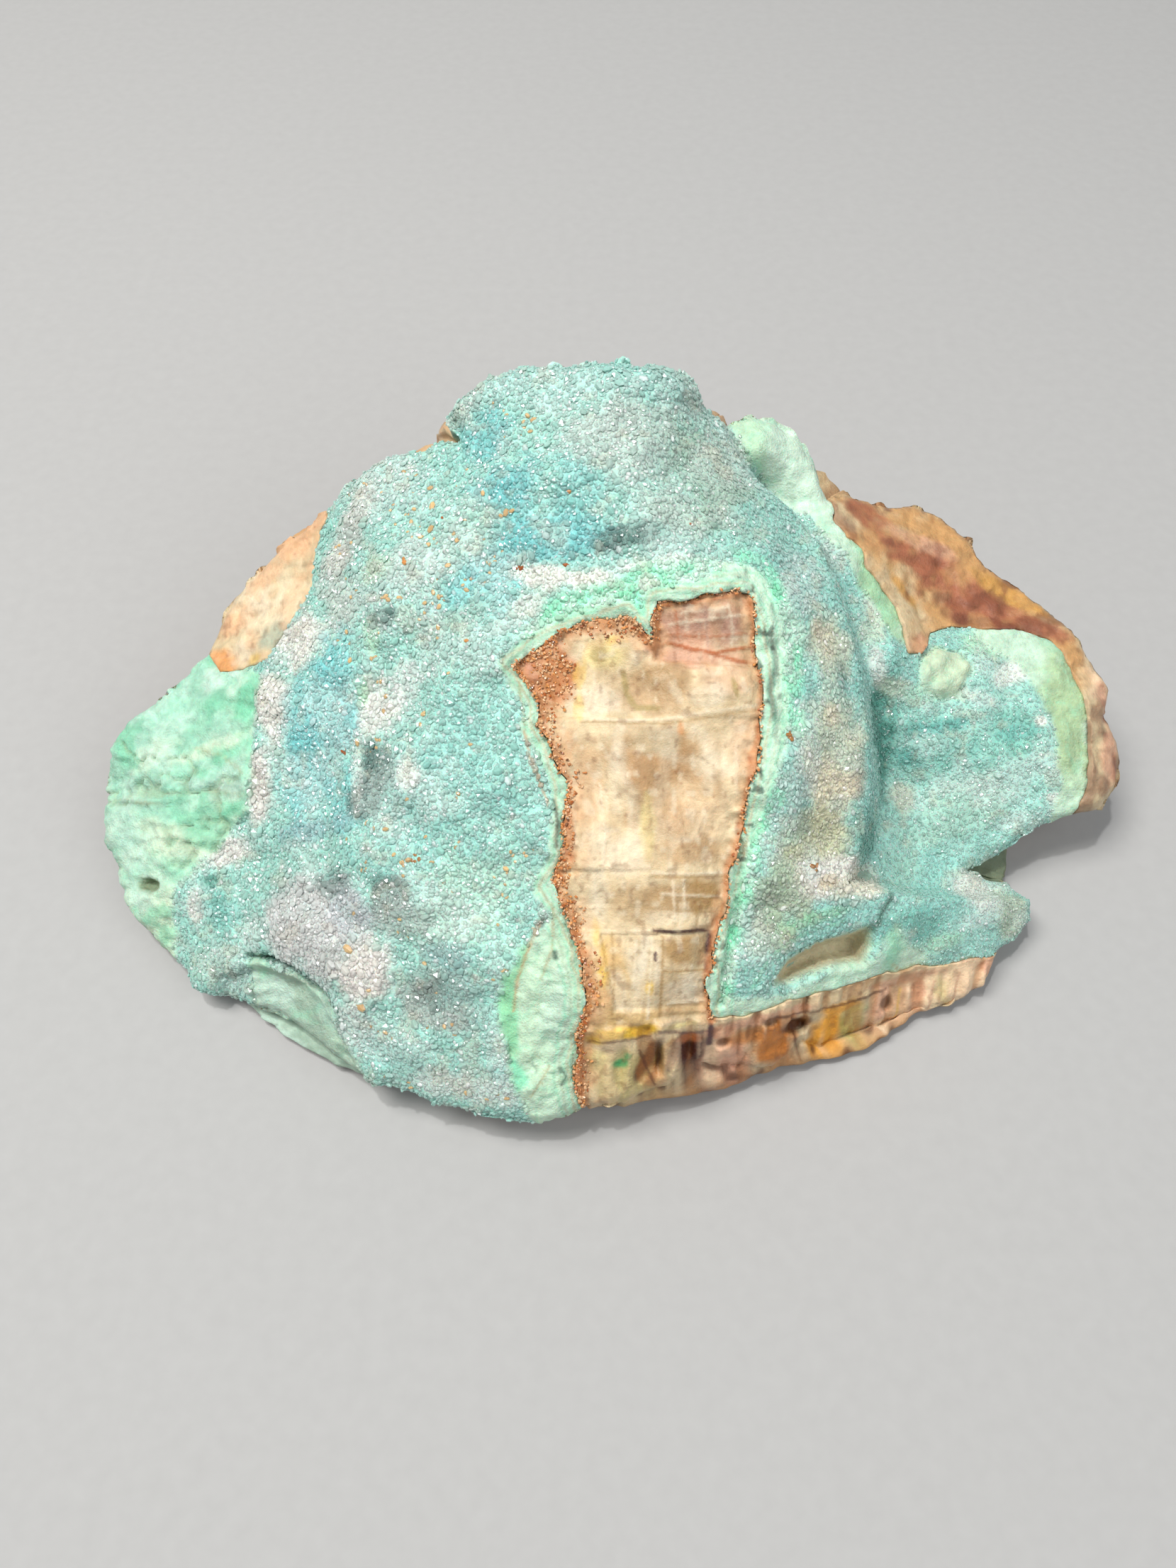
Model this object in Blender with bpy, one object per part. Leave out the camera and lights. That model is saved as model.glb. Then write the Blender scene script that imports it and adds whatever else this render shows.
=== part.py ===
"""Druzy hemimorphite on its rock: a blue-green crystal crust over iron-stained calcite.

The piece rests on a flat worn base and its display face leans back. The outlines and the relief
are given on that face in millimetres: u to the right, v up the slope, w out of the face.
"""

import itertools
import math

import bpy
import numpy as np
from mathutils.geometry import delaunay_2d_cdt

MM = 0.001

# Pose of the display face, and the middle of the finished piece, which becomes the origin.
FACE_TILT = math.radians(31.0)
FACE_HEIGHT = 18.0
CENTRE_X = 2.1
CENTRE_Y = 8.0

# The crust: its thickness on the dome, on the wing, and the clearance to the rock under it.
CRUST_THICKNESS = 2.2
WING_THICKNESS = 2.9
WING_FROM = -20.0
WING_FULL = -26.0
CLEARANCE = 0.3
THINNEST = 0.6
SEAT_WIDTH = 0.35
SEAT_CORNER = 0.6

# Facet sizes.
EDGE_STEP = 1.5
FACE_STEP = 1.75
SKIRT_RINGS = 8

# Outlines on the face (u, v), clockwise from the lowest tip of the crust.
LEFT_EDGE = [
    (-0.3, -20.9), (-3.0, -22.0), (-5.5, -21.5), (-9.6, -20.9), (-12.8, -19.5), (-14.0, -19.9),
    (-15.6, -19.0), (-18.3, -17.3), (-21.2, -15.7), (-24.2, -15.2), (-27.4, -14.3), (-28.1, -13.1),
    (-30.4, -11.3), (-32.4, -9.5), (-33.9, -7.0), (-34.9, -4.0), (-35.2, -0.6), (-34.6, 2.8),
    (-33.3, 4.6), (-30.8, 6.3), (-28.9, 7.8), (-27.7, 9.6),
]
LEFT_BACK_CRUST = [
    (-27.7, 9.6), (-26.1, 8.0), (-24.1, 8.1), (-21.9, 8.7), (-20.5, 10.7), (-19.1, 12.8),
    (-18.8, 15.2), (-18.3, 18.8),
]
LEFT_BACK_ROCK = [(-27.7, 9.6), (-26.6, 12.5), (-24.9, 14.5), (-22.4, 16.4), (-19.9, 18.0), (-18.3, 18.8)]
CROWN = [
    (-18.3, 18.8), (-16.6, 20.4), (-14.7, 21.8), (-13.0, 22.4), (-11.5, 22.5), (-9.9, 22.9),
    (-8.8, 22.4), (-8.4, 23.2), (-9.0, 24.3), (-8.6, 25.3), (-7.5, 26.0), (-5.6, 27.1),
    (-3.0, 27.2), (-0.5, 27.0), (1.9, 27.2), (3.1, 26.6), (5.0, 27.1), (6.2, 26.7),
    (7.3, 25.7), (8.2, 24.4), (9.6, 24.8), (11.3, 25.7), (13.3, 25.5), (15.0, 24.5),
    (16.2, 22.8), (17.1, 20.4),
]
RIGHT_BACK_CRUST = [
    (17.1, 20.4), (17.3, 18.4), (18.7, 16.7), (19.9, 14.6), (21.5, 12.5), (22.1, 11.0),
    (22.4, 9.2), (23.5, 9.1), (24.5, 10.7), (26.4, 11.5), (29.0, 11.3), (32.0, 11.1),
    (34.0, 10.4), (35.3, 8.5), (36.2, 5.4), (36.4, 2.9), (35.9, 0.0), (35.2, -2.3),
]
RIGHT_BACK_ROCK = [
    (17.1, 20.4), (19.5, 21.0), (22.0, 20.5), (24.1, 21.0), (26.6, 20.4), (28.7, 18.3),
    (29.9, 16.4), (32.5, 14.8), (34.7, 13.0), (36.2, 11.0), (37.7, 8.6), (38.6, 6.7),
    (37.9, 5.0), (39.3, 3.2), (39.5, 1.8), (38.8, -0.1), (37.5, -1.8), (35.2, -2.3),
]
RIGHT_EDGE = [
    (35.2, -2.3), (33.5, -2.7), (31.4, -3.7), (29.8, -5.1), (27.3, -6.2), (28.8, -6.9),
    (30.5, -7.2), (31.5, -8.1), (31.6, -9.8), (30.7, -11.1), (28.9, -11.8),
]
FRONT_CRUST = [
    (28.9, -11.8), (26.1, -12.1), (23.0, -12.4), (20.0, -12.6), (18.2, -13.0), (15.9, -13.6),
    (13.1, -13.9), (10.2, -14.5), (7.8, -14.8),
]
FRONT_ROCK = [
    (28.9, -11.8), (27.9, -14.2), (25.9, -15.3), (22.7, -15.9), (18.9, -17.1), (15.6, -17.9),
    (14.2, -17.3), (12.4, -19.1), (9.9, -18.7), (8.0, -18.4), (6.8, -17.9), (5.2, -19.4),
    (2.5, -20.5), (-0.3, -20.9),
]
WINDOW_RIGHT = [
    (7.8, -14.8), (7.5, -12.1), (7.8, -9.6), (8.4, -7.2), (8.9, -4.8), (9.5, -2.4), (9.8, 0.0),
    (10.4, 2.4), (10.7, 4.8), (10.6, 7.2), (10.3, 9.8), (9.6, 11.8),
]
WINDOW_TOP = [
    (9.6, 11.8), (6.7, 11.4), (4.1, 11.0), (3.9, 8.4), (3.2, 9.5), (2.3, 10.2), (-0.2, 9.8),
    (-2.4, 8.9), (-4.6, 7.4),
]
WINDOW_LEFT = [
    (-4.6, 7.4), (-3.6, 6.1), (-2.9, 4.8), (-3.1, 3.5), (-2.3, 2.5), (-1.6, 0.0), (-1.4, -2.4),
    (-1.4, -4.4), (-2.4, -6.3), (-1.6, -7.3), (-1.0, -8.9), (-0.4, -10.9), (0.0, -13.1),
    (-0.4, -15.3), (-0.8, -17.4), (-0.6, -19.8), (-0.3, -20.9),
]

# Heights (u, v, w) of the dome, the window, the left wing and the front rock.
DOME_RELIEF = [
    (-0.5, 27.0, -3.2), (-7.0, 26.0, -4.6), (-8.5, 24.0, -5.5), (6.5, 26.0, -4.4), (8.5, 24.0, -6.5),
    (-0.5, 21.5, -1.2), (-4.5, 20.5, -2.2), (-5.5, 17.5, -2.2), (3.5, 21.5, -1.2), (6.5, 18.5, -1.8),
    (10.5, 18.0, -4.0), (13.5, 16.0, -5.5), (-0.5, 15.5, -0.6), (2.5, 12.5, 0.3), (7.0, 13.0, 0.1),
    (11.0, 11.0, -0.6), (14.5, 9.0, -2.2), (16.0, 5.0, -2.8), (17.0, 0.0, -3.4), (16.0, -4.0, -3.6),
    (12.0, 5.0, 0.0), (12.5, 0.0, -0.5), (12.0, -5.0, -1.3),
]
WINDOW_RELIEF = [
    (-2.5, 7.0, 0.3), (4.0, 8.5, 0.5), (9.5, 7.0, 0.4), (4.0, 0.0, 0.5), (-0.5, 0.0, 0.4),
    (9.0, 0.0, 0.4), (4.0, -9.5, 0.2), (-0.5, -9.5, -0.2), (7.0, -9.5, -0.2), (3.5, -14.5, -0.8),
    (4.0, -20.5, -4.4), (-0.5, -21.0, -3.4),
]
LOWER_RIGHT_RELIEF = [
    (10.5, -9.0, -1.6), (14.5, -7.0, -2.2), (17.5, -7.0, -3.6), (9.0, -14.5, -2.4),
    (14.5, -11.5, -3.8), (18.0, -12.5, -5.8), (21.5, -9.5, -6.2), (23.0, -12.5, -8.2),
    (27.0, -9.0, -9.0), (29.0, -11.5, -10.5), (31.0, -9.0, -11.5), (28.0, -14.0, -10.6),
    (22.5, -16.0, -9.6), (15.5, -18.0, -8.0), (12.5, -19.0, -7.0), (8.0, -18.5, -5.2),
]
LEFT_RELIEF = [
    (-7.5, 9.5, -0.8), (-5.5, 2.5, -0.2), (-7.0, -2.5, 0.0), (-4.5, -7.0, -0.2), (-7.5, -12.0, -0.8),
    (-5.5, -17.5, -2.0), (-5.5, -21.5, -3.6), (-9.5, -16.5, -2.4), (-9.5, -21.0, -4.0),
    (-14.0, -20.0, -5.0), (-12.5, 15.0, -3.6), (-12.0, 21.5, -7.0), (-16.5, 19.0, -8.0),
    (-12.5, 7.5, -2.6), (-12.5, 0.0, -1.8), (-12.5, -6.0, -1.8), (-13.5, -12.5, -3.0),
    (-17.0, -15.5, -5.0), (-18.5, -17.5, -6.5), (-17.0, 12.5, -6.0), (-18.0, 6.0, -5.5),
    (-18.0, 0.0, -5.6), (-17.5, -6.5, -4.0), (-19.0, -10.5, -5.0), (-21.0, -15.5, -7.5),
]
WING_RELIEF = [
    (-21.5, 8.0, -8.0), (-21.5, 2.5, -7.0), (-21.5, -2.5, -7.0), (-22.0, -8.0, -7.0),
    (-24.0, -11.5, -8.0), (-24.0, -15.0, -8.5), (-27.5, 5.5, -11.0), (-30.5, 3.0, -11.5),
    (-35.0, 0.0, -13.2), (-27.0, 0.0, -9.5), (-33.0, -3.0, -11.8), (-27.0, -5.5, -9.0),
    (-31.5, -6.5, -11.0), (-34.0, -7.0, -12.5), (-30.5, -10.0, -10.6), (-28.0, -13.0, -9.8),
    (-31.0, 6.5, -12.8), (-27.5, 9.5, -12.8), (-25.0, 11.0, -11.8), (-22.0, 13.0, -10.5),
    (-23.5, 15.0, -12.6), (-20.0, 16.5, -9.8), (-18.5, 19.0, -9.0),
]
HIGH_RELIEF = DOME_RELIEF + WINDOW_RELIEF + LOWER_RIGHT_RELIEF + LEFT_RELIEF + WING_RELIEF

# Heights of the lower ground on the right: the knob, the right wing and the rock behind it.
LOW_RELIEF = [
    (10.5, 25.0, -10.0), (13.5, 25.0, -11.0), (11.5, 22.0, -9.2), (14.5, 22.0, -10.8),
    (17.0, 20.0, -12.0), (19.0, 17.0, -11.0), (16.5, 15.0, -9.0), (19.0, 12.0, -9.0),
    (20.5, 8.0, -8.6), (22.0, 9.5, -9.8), (19.5, 21.0, -14.0), (24.0, 21.0, -16.0),
    (23.5, 17.0, -13.5), (28.0, 15.0, -15.0), (30.0, 16.5, -16.5), (31.5, 12.0, -14.5),
    (24.0, 12.0, -12.0), (34.5, 13.0, -16.0), (35.0, 10.0, -14.6), (38.5, 6.5, -15.2),
    (22.0, 5.5, -10.3), (21.0, 0.0, -11.8), (25.0, 3.0, -11.0), (25.0, -2.0, -11.6),
    (30.0, 6.5, -12.2), (30.5, 2.0, -11.8), (30.0, -2.5, -12.6), (35.0, 2.5, -13.0),
    (39.5, 2.5, -14.8), (37.5, -2.0, -14.0), (33.5, -2.5, -13.2), (27.5, -6.0, -12.0),
    (22.0, -5.0, -10.6), (20.0, -6.0, -9.0), (8.5, 17.0, -14.0), (9.0, 0.0, -16.0),
    (14.0, -8.5, -13.0), (11.5, 21.5, -13.0), (22.5, -10.0, -11.0), (28.0, -9.5, -12.5),
    (32.0, -9.5, -14.0),
]

# The brow of the dome (v, u): past this line its right side falls away to the low ground.
BROW = [
    (-40.0, 60.0), (-9.0, 40.0), (-7.5, 22.0), (-6.4, 16.4), (-3.9, 17.6), (-1.0, 18.2), (2.5, 18.2),
    (6.5, 17.8), (10.1, 17.0), (16.1, 15.3), (18.3, 13.4), (20.6, 10.3), (24.0, 8.8), (40.0, 2.0),
]
BROW_FALL = 2.2
LOW_FROM = 8.0
LOW_FALL = 3.0
SHEET_BLEND = 0.7

# A hollow above the front rim, and the broken ledge at the lower left.
HOLLOW = [
    (11.0, -13.0), (12.5, -11.0), (14.5, -9.8), (16.5, -9.3), (18.6, -8.8), (19.0, -10.5),
    (18.4, -12.2), (16.0, -12.3), (14.3, -12.8), (12.8, -13.3),
]
HOLLOW_DEPTH = 2.3
HOLLOW_SIDE = 1.3
LEDGE = [
    (-23.0, -12.0), (-21.5, -12.0), (-19.5, -12.5), (-18.0, -13.0), (-16.5, -15.0), (-15.5, -17.0),
    (-14.0, -20.0), (-14.0, -25.0), (-26.0, -25.0), (-26.0, -13.0),
]
LEDGE_DEPTH = 1.1
LEDGE_SIDE = 0.8

# Lumps and facets on the surfaces: size and height of each.
LUMPS = [(6.0, 0.5), (2.8, 0.4)]
ROCK_LUMPS = [(7.0, 0.6), (3.2, 0.4)]

# The flat base (x, y) at z = 0, about a middle inside it.
BASE = [
    (-26.0, -2.0), (-20.0, -9.0), (-10.0, -12.0), (0.0, -13.0), (12.0, -11.0), (22.0, -7.0),
    (28.0, 0.0), (31.0, 8.0), (30.0, 18.0), (24.0, 27.0), (12.0, 31.0), (0.0, 32.0),
    (-12.0, 30.0), (-22.0, 24.0), (-28.0, 14.0), (-29.0, 5.0),
]
BASE_MIDDLE = (1.0, 9.0)
BACK_BULGE = 3.2
UNDERSIDE_MIN = 0.5

# Flat breaks of the rock: direction round the middle, upward lean, and reach from the middle at
# the break height.
BREAKS = [
    (-10.0, 5.0, 30.0), (18.0, 12.0, 31.0), (38.0, 8.0, 31.5), (58.0, 20.0, 26.0), (74.0, 6.0, 25.0),
    (92.0, 18.0, 23.5), (108.0, 4.0, 25.0), (127.0, 18.0, 25.0), (144.0, 8.0, 27.5),
    (163.0, 12.0, 29.5), (186.0, 6.0, 30.5),
]
BREAK_HEIGHT = 9.0
SEED = 7


def clear_scene():
    for item in list(bpy.data.objects):
        bpy.data.objects.remove(item, do_unlink=True)


def material(name, colour, roughness):
    made = bpy.data.materials.new(name)
    made.use_nodes = True
    shader = made.node_tree.nodes["Principled BSDF"]
    shader.inputs["Base Color"].default_value = (*colour, 1.0)
    shader.inputs["Roughness"].default_value = roughness
    shader.inputs["Metallic"].default_value = 0.0
    return made


def lattice(x, y, z, seed):
    """A repeatable number from -1 to 1 at each whole-numbered point."""
    mixed = (x * 374761393 + y * 668265263 + z * 1103515245 + seed * 144665) & 0xFFFFFFFF
    mixed = ((mixed ^ (mixed >> 13)) * 1274126177) & 0xFFFFFFFF
    return ((mixed ^ (mixed >> 16)) & 0xFFFF) / 32767.5 - 1.0


def noise(points, size, seed):
    """Smooth random height from -1 to 1, whose lumps are about this size."""
    scaled = points / size
    corner = np.floor(scaled).astype(np.int64)
    part = scaled - corner
    part = part * part * (3.0 - 2.0 * part)
    total = np.zeros(len(points))
    for step in itertools.product((0, 1), repeat=3):
        weight = np.prod(np.where(np.array(step), part, 1.0 - part), axis=1)
        total += weight * lattice(*(corner + step).T, seed)
    return total


def sheet_through(points, stiffness=0.02):
    """A bent plate through the points (u, v, w), as a function of u and v."""
    points = np.array(points)
    places = points[:, :2]

    def bend(where):
        gap = np.linalg.norm(where[:, None] - places[None], axis=2)
        return gap * gap * np.log(gap + 1e-9)

    def plane(where):
        return np.column_stack([np.ones(len(where)), where])

    count = len(points)
    system = np.zeros((count + 3, count + 3))
    system[:count, :count] = bend(places) + stiffness * np.eye(count) * count
    system[:count, count:] = plane(places)
    system[count:, :count] = plane(places).T
    weights = np.linalg.solve(system, np.append(points[:, 2], np.zeros(3)))
    return lambda where: bend(where) @ weights[:count] + plane(where) @ weights[count:]


def distance_to(path, where, ring=True):
    """Distance of each point to the nearest side of a path."""
    path = np.array(path)
    ends = np.roll(path, -1, axis=0) if ring else path[1:]
    starts = path if ring else path[:-1]
    nearest = np.full(len(where), np.inf)
    for start, end in zip(starts, ends):
        along = end - start
        share = np.clip((where - start) @ along / max(along @ along, 1e-12), 0.0, 1.0)
        nearest = np.minimum(nearest, np.linalg.norm(where - start - share[:, None] * along, axis=1))
    return nearest


def inside(ring, where):
    """Whether each point lies inside the ring."""
    ring = np.array(ring)
    found = np.zeros(len(where), bool)
    for start, end in zip(ring, np.roll(ring, -1, axis=0)):
        if start[1] == end[1]:
            continue
        spans = (start[1] > where[:, 1]) != (end[1] > where[:, 1])
        across = start[0] + (where[:, 1] - start[1]) * (end[0] - start[0]) / (end[1] - start[1])
        found ^= spans & (where[:, 0] < across)
    return found


def pressed(ring, where, depth, side):
    """How far a pit of this outline goes down, with sides that slope over the given width."""
    share = np.where(inside(ring, where), distance_to(ring, where) / side, 0.0)
    share = np.clip(share, 0.0, 1.0)
    return depth * share * share * (3.0 - 2.0 * share)


HIGH_SHEET = sheet_through(HIGH_RELIEF)
LOW_SHEET = sheet_through(LOW_RELIEF)


def face_height(where):
    """Height w of the visible front surface over each point (u, v)."""
    u, v = where[:, 0], where[:, 1]
    brow_v, brow_u = np.array(BROW).T
    high = HIGH_SHEET(where) - BROW_FALL * np.maximum(0.0, u - np.interp(v, brow_v, brow_u))
    low = LOW_SHEET(where) - LOW_FALL * np.maximum(0.0, LOW_FROM - u)
    height = (high + low + np.sqrt((high - low) ** 2 + SHEET_BLEND**2)) / 2.0
    height -= pressed(HOLLOW, where, HOLLOW_DEPTH, HOLLOW_SIDE)
    height -= pressed(LEDGE, where, LEDGE_DEPTH, LEDGE_SIDE)
    solid = np.column_stack([where, np.zeros(len(where))])
    for index, (size, rise) in enumerate(LUMPS):
        height += rise * noise(solid, size, SEED + index)
    return height


def crust_thickness(where, height):
    """Thickest on the left wing, and thinner where the rim comes close to the surface below."""
    on_wing = np.clip((WING_FROM - where[:, 0]) / (WING_FROM - WING_FULL), 0.0, 1.0)
    wanted = CRUST_THICKNESS + (WING_THICKNESS - CRUST_THICKNESS) * on_wing
    room = (to_world(where, height)[:, 2] - UNDERSIDE_MIN) / math.cos(FACE_TILT) - CLEARANCE
    return np.minimum(wanted, np.maximum(room, THINNEST))


def to_world(where, height):
    """Points of the leaning face, in millimetres on the resting piece."""
    u, v = where[:, 0], where[:, 1]
    y = v * math.cos(FACE_TILT) - height * math.sin(FACE_TILT)
    z = FACE_HEIGHT + v * math.sin(FACE_TILT) + height * math.cos(FACE_TILT)
    return np.column_stack([u, y, z])


def divided(path, step=EDGE_STEP):
    """The path with its own points and even ones between them, without its last point."""
    made = []
    for start, end in zip(np.array(path[:-1]), np.array(path[1:])):
        pieces = max(1, round(float(np.linalg.norm(end - start)) / step))
        made += [start + (end - start) * k / pieces for k in range(pieces)]
    return made


def moved_aside(path, width):
    """The inner points of the path, moved to its left by this width."""
    path = np.array(path)
    along = np.diff(path, axis=0)
    left = np.column_stack([-along[:, 1], along[:, 0]]) / np.linalg.norm(along, axis=1)[:, None]
    both = left[:-1] + left[1:]
    both /= np.linalg.norm(both, axis=1)[:, None]
    reach = np.minimum(1.5, 1.0 / np.maximum(0.2, (both * left[1:]).sum(axis=1)))
    return path[1:-1] + both * (width * reach)[:, None]


def with_corners(path):
    """The path with a point close to each end, where the seat of the crust meets the outline."""
    path = np.array(path)
    first, last = path[1] - path[0], path[-2] - path[-1]
    near_first = path[0] + first / np.linalg.norm(first) * SEAT_CORNER
    near_last = path[-1] + last / np.linalg.norm(last) * SEAT_CORNER
    return [path[0], near_first, *path[1:-1], near_last, path[-1]]


class Face:
    """The face cut into triangles that follow the crust's outline and the rock's outline."""

    def __init__(self):
        bare = [
            (LEFT_BACK_CRUST, with_corners(LEFT_BACK_ROCK)),
            (RIGHT_BACK_CRUST, with_corners(RIGHT_BACK_ROCK)),
            (FRONT_CRUST + WINDOW_RIGHT[1:] + WINDOW_TOP[1:] + WINDOW_LEFT[1:], with_corners(FRONT_ROCK)),
        ]
        self.points = []
        left, crown, right = (self.add(divided(path)) for path in (LEFT_EDGE, CROWN, RIGHT_EDGE))
        inner = [self.add(divided(crust)) for crust, _ in bare]
        outer = [self.add(divided(rock)[1:]) for _, rock in bare]
        self.crust_ring = left + inner[0] + crown + inner[1] + right + inner[2]
        starts = [inner[0][:1], inner[1][:1], inner[2][:1]]
        self.rock_ring = left + starts[0] + outer[0] + crown + starts[1] + outer[1] + right + starts[2] + outer[2]
        sides = list(zip(self.crust_ring, self.crust_ring[1:] + self.crust_ring[:1]))
        sides += list(zip(self.rock_ring, self.rock_ring[1:] + self.rock_ring[:1]))
        after = [crown[0], right[0], left[0]]
        for ring, rocks, follows in zip(inner, outer, after):
            path = [self.points[i] for i in ring] + [self.points[follows]]
            seat = [rocks[0]] + self.add(moved_aside(path, SEAT_WIDTH)) + [rocks[-1]]
            sides += list(zip(seat[:-1], seat[1:]))
        self.add_inner_points()
        self.cut(sides)

    def add(self, points):
        first = len(self.points)
        self.points += [np.array(point) for point in points]
        return list(range(first, len(self.points)))

    def add_inner_points(self):
        """Evenly spread points, shifted a little each, clear of every outline."""
        shift = np.random.default_rng(SEED)
        edges = np.array(self.points)
        low, high = edges.min(axis=0), edges.max(axis=0)
        rows = np.arange(low[1], high[1], FACE_STEP * math.sqrt(0.75))
        spread = [
            (u + (row % 2) * FACE_STEP / 2.0, v)
            for row, v in enumerate(rows)
            for u in np.arange(low[0], high[0], FACE_STEP)
        ]
        spread = np.array(spread) + shift.uniform(-0.22, 0.22, (len(spread), 2)) * FACE_STEP
        rings = [edges[self.crust_ring], edges[self.rock_ring]]
        clear = inside(rings[1], spread)
        for ring in rings:
            clear &= distance_to(ring, spread) > 0.55 * FACE_STEP
        self.add(spread[clear])

    def cut(self, sides):
        places = np.array(self.points)
        found = delaunay_2d_cdt([tuple(p) for p in places], sides, [], 0, 1e-5)
        corners, triangles, origins = found[0], found[2], found[3]
        if len(corners) != len(places) or any(len(origin) != 1 for origin in origins):
            raise ValueError("outlines cross each other")
        number = np.array([origin[0] for origin in origins])
        triangles = number[np.array(triangles)]
        middles = places[triangles].mean(axis=1)
        in_rock = inside(places[self.rock_ring], middles)
        in_crust = inside(places[self.crust_ring], middles)
        self.places = places
        self.all_triangles = triangles[in_rock]
        self.crust_triangles = triangles[in_rock & in_crust]
        self.under_crust = np.zeros(len(places), bool)
        self.under_crust[np.unique(self.crust_triangles)] = True


def add_object(name, points, faces, finish):
    centred = np.array(points) - (CENTRE_X, CENTRE_Y, 0.0)
    mesh = bpy.data.meshes.new(name)
    mesh.from_pydata([tuple(p) for p in centred * MM], [], [tuple(int(i) for i in f) for f in faces])
    mesh.materials.append(finish)
    made = bpy.data.objects.new(name, mesh)
    bpy.context.scene.collection.objects.link(made)
    return made


def wall(upper, lower):
    """Faces between two closed rings of the same length, facing out."""
    pairs = zip(upper, upper[1:] + upper[:1], lower[1:] + lower[:1], lower)
    return [(a, b, c, d) for a, b, c, d in pairs]


def make_crust(face):
    """The crystal layer: the front surface, the same surface a thickness lower, and its edge."""
    used = np.flatnonzero(face.under_crust)
    number = {int(old): new for new, old in enumerate(used)}
    where = face.places[used]
    top = face_height(where)
    bottom = top - crust_thickness(where, top)
    points = np.vstack([to_world(where, top), to_world(where, bottom)])
    count = len(used)
    upper = [tuple(number[int(i)] for i in triangle) for triangle in face.crust_triangles]
    lower = [(a + count, c + count, b + count) for a, b, c in upper]
    ring = [number[i] for i in face.crust_ring]
    faces = upper + lower + wall(ring, [i + count for i in ring])
    finish = material("druse_blue_green", (0.21, 0.50, 0.49), 0.3)
    return add_object("druzy_crust", points, faces, finish)


def base_reach(angle):
    """Distance from the base's middle to its outline in this direction."""
    corners = np.array(BASE) - BASE_MIDDLE
    angles = np.arctan2(corners[:, 1], corners[:, 0])
    order = np.argsort(angles)
    return np.interp(angle, angles[order], np.linalg.norm(corners, axis=1)[order], period=2 * math.pi)


def steady_angles(rim):
    """Direction of each rim point from the base's middle, made to turn one way only."""
    offsets = rim[:, :2] - BASE_MIDDLE
    turned = -np.unwrap(np.arctan2(offsets[:, 1], offsets[:, 0]))
    turned = np.maximum.accumulate(turned)
    count = len(turned)
    around = np.concatenate([turned - 2 * math.pi, turned, turned + 2 * math.pi])
    smooth = np.convolve(around, np.ones(5) / 5.0, "same")[count : 2 * count]
    return -smooth


def broken(points):
    """The points with whatever lies past a flat break brought back to it."""
    points = points.copy()
    for turn, lean, reach in BREAKS:
        turn, lean = math.radians(turn), math.radians(lean)
        level = np.array([math.cos(turn), math.sin(turn), 0.0])
        out = level * math.cos(lean) + np.array([0.0, 0.0, math.sin(lean)])
        on_plane = np.array([*BASE_MIDDLE, BREAK_HEIGHT]) + level * reach
        past = np.maximum(0.0, (points - on_plane) @ out)
        points -= past[:, None] * out
    return points


def calmed(ring, half_width):
    """The closed ring with its small steps evened out."""
    return sum(np.roll(ring, k, axis=0) for k in range(-half_width, half_width + 1)) / (2 * half_width + 1)


def skirt_rings(rim):
    """Rings of points from the rim down to the flat base."""
    angle = steady_angles(rim)
    outward = np.column_stack([np.cos(angle), np.sin(angle)])
    foot = outward * base_reach(angle)[:, None] + BASE_MIDDLE
    spread = ((foot - rim[:, :2]) * outward).sum(axis=1)
    behind = np.clip(spread / 8.0 + 0.5, 0.0, 1.0)
    calm = calmed(rim, 4)
    rings = []
    for step in range(1, SKIRT_RINGS + 1):
        share = step / SKIRT_RINGS
        out_share = behind * (1.0 - (1.0 - share) ** 1.5) + (1.0 - behind) * share**1.4
        down_share = behind * share + (1.0 - behind) * (1.0 - (1.0 - share) ** 1.5)
        start = rim + (calm - rim) * (min(1.0, 2.5 * share) * behind)[:, None]
        place = start[:, :2] + (foot - start[:, :2]) * out_share[:, None]
        place += outward * (behind * BACK_BULGE * math.sin(math.pi * share))[:, None]
        ring = np.column_stack([place, start[:, 2] * (1.0 - down_share)])
        if step < SKIRT_RINGS:
            ring = broken(ring)
            rough = sum(rise * noise(ring, size, SEED + 20 + k) for k, (size, rise) in enumerate(ROCK_LUMPS))
            ring[:, :2] += outward * (rough * (0.35 + 0.65 * behind))[:, None]
            ring[:, 2] = np.maximum(ring[:, 2] + 0.5 * rough * behind, 0.2 * (SKIRT_RINGS - step))
        rings.append(ring)
    return rings


def make_matrix(face):
    """The rock: its front under and around the crust, its sides and back, and its flat base."""
    height = face_height(face.places)
    seat = height - crust_thickness(face.places, height) - CLEARANCE
    points = to_world(face.places, np.where(face.under_crust, seat, height))
    rim = list(face.rock_ring)
    faces = [tuple(triangle) for triangle in face.all_triangles]
    rings = skirt_rings(points[rim])
    upper = rim
    for ring in rings:
        lower = list(range(len(points), len(points) + len(ring)))
        points = np.vstack([points, ring])
        faces += wall(upper, lower)
        upper = lower
    faces.append(tuple(upper))
    finish = material("iron_stained_calcite", (0.45, 0.30, 0.16), 0.75)
    return add_object("matrix", points, faces, finish)


def main():
    clear_scene()
    face = Face()
    make_crust(face)
    make_matrix(face)


main()
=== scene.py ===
"""Looks of the druzy hemimorphite: a crystal-covered blue-green crust on iron-stained calcite.

The shapes are laid out on the leaning display face in millimetres (u to the right, v up the slope,
w out of the face), as in the solids, and turned into metres when each mesh is made.
"""

import itertools
import math

import bpy
import numpy as np
from mathutils import Matrix, Vector
from mathutils.geometry import delaunay_2d_cdt

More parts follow.
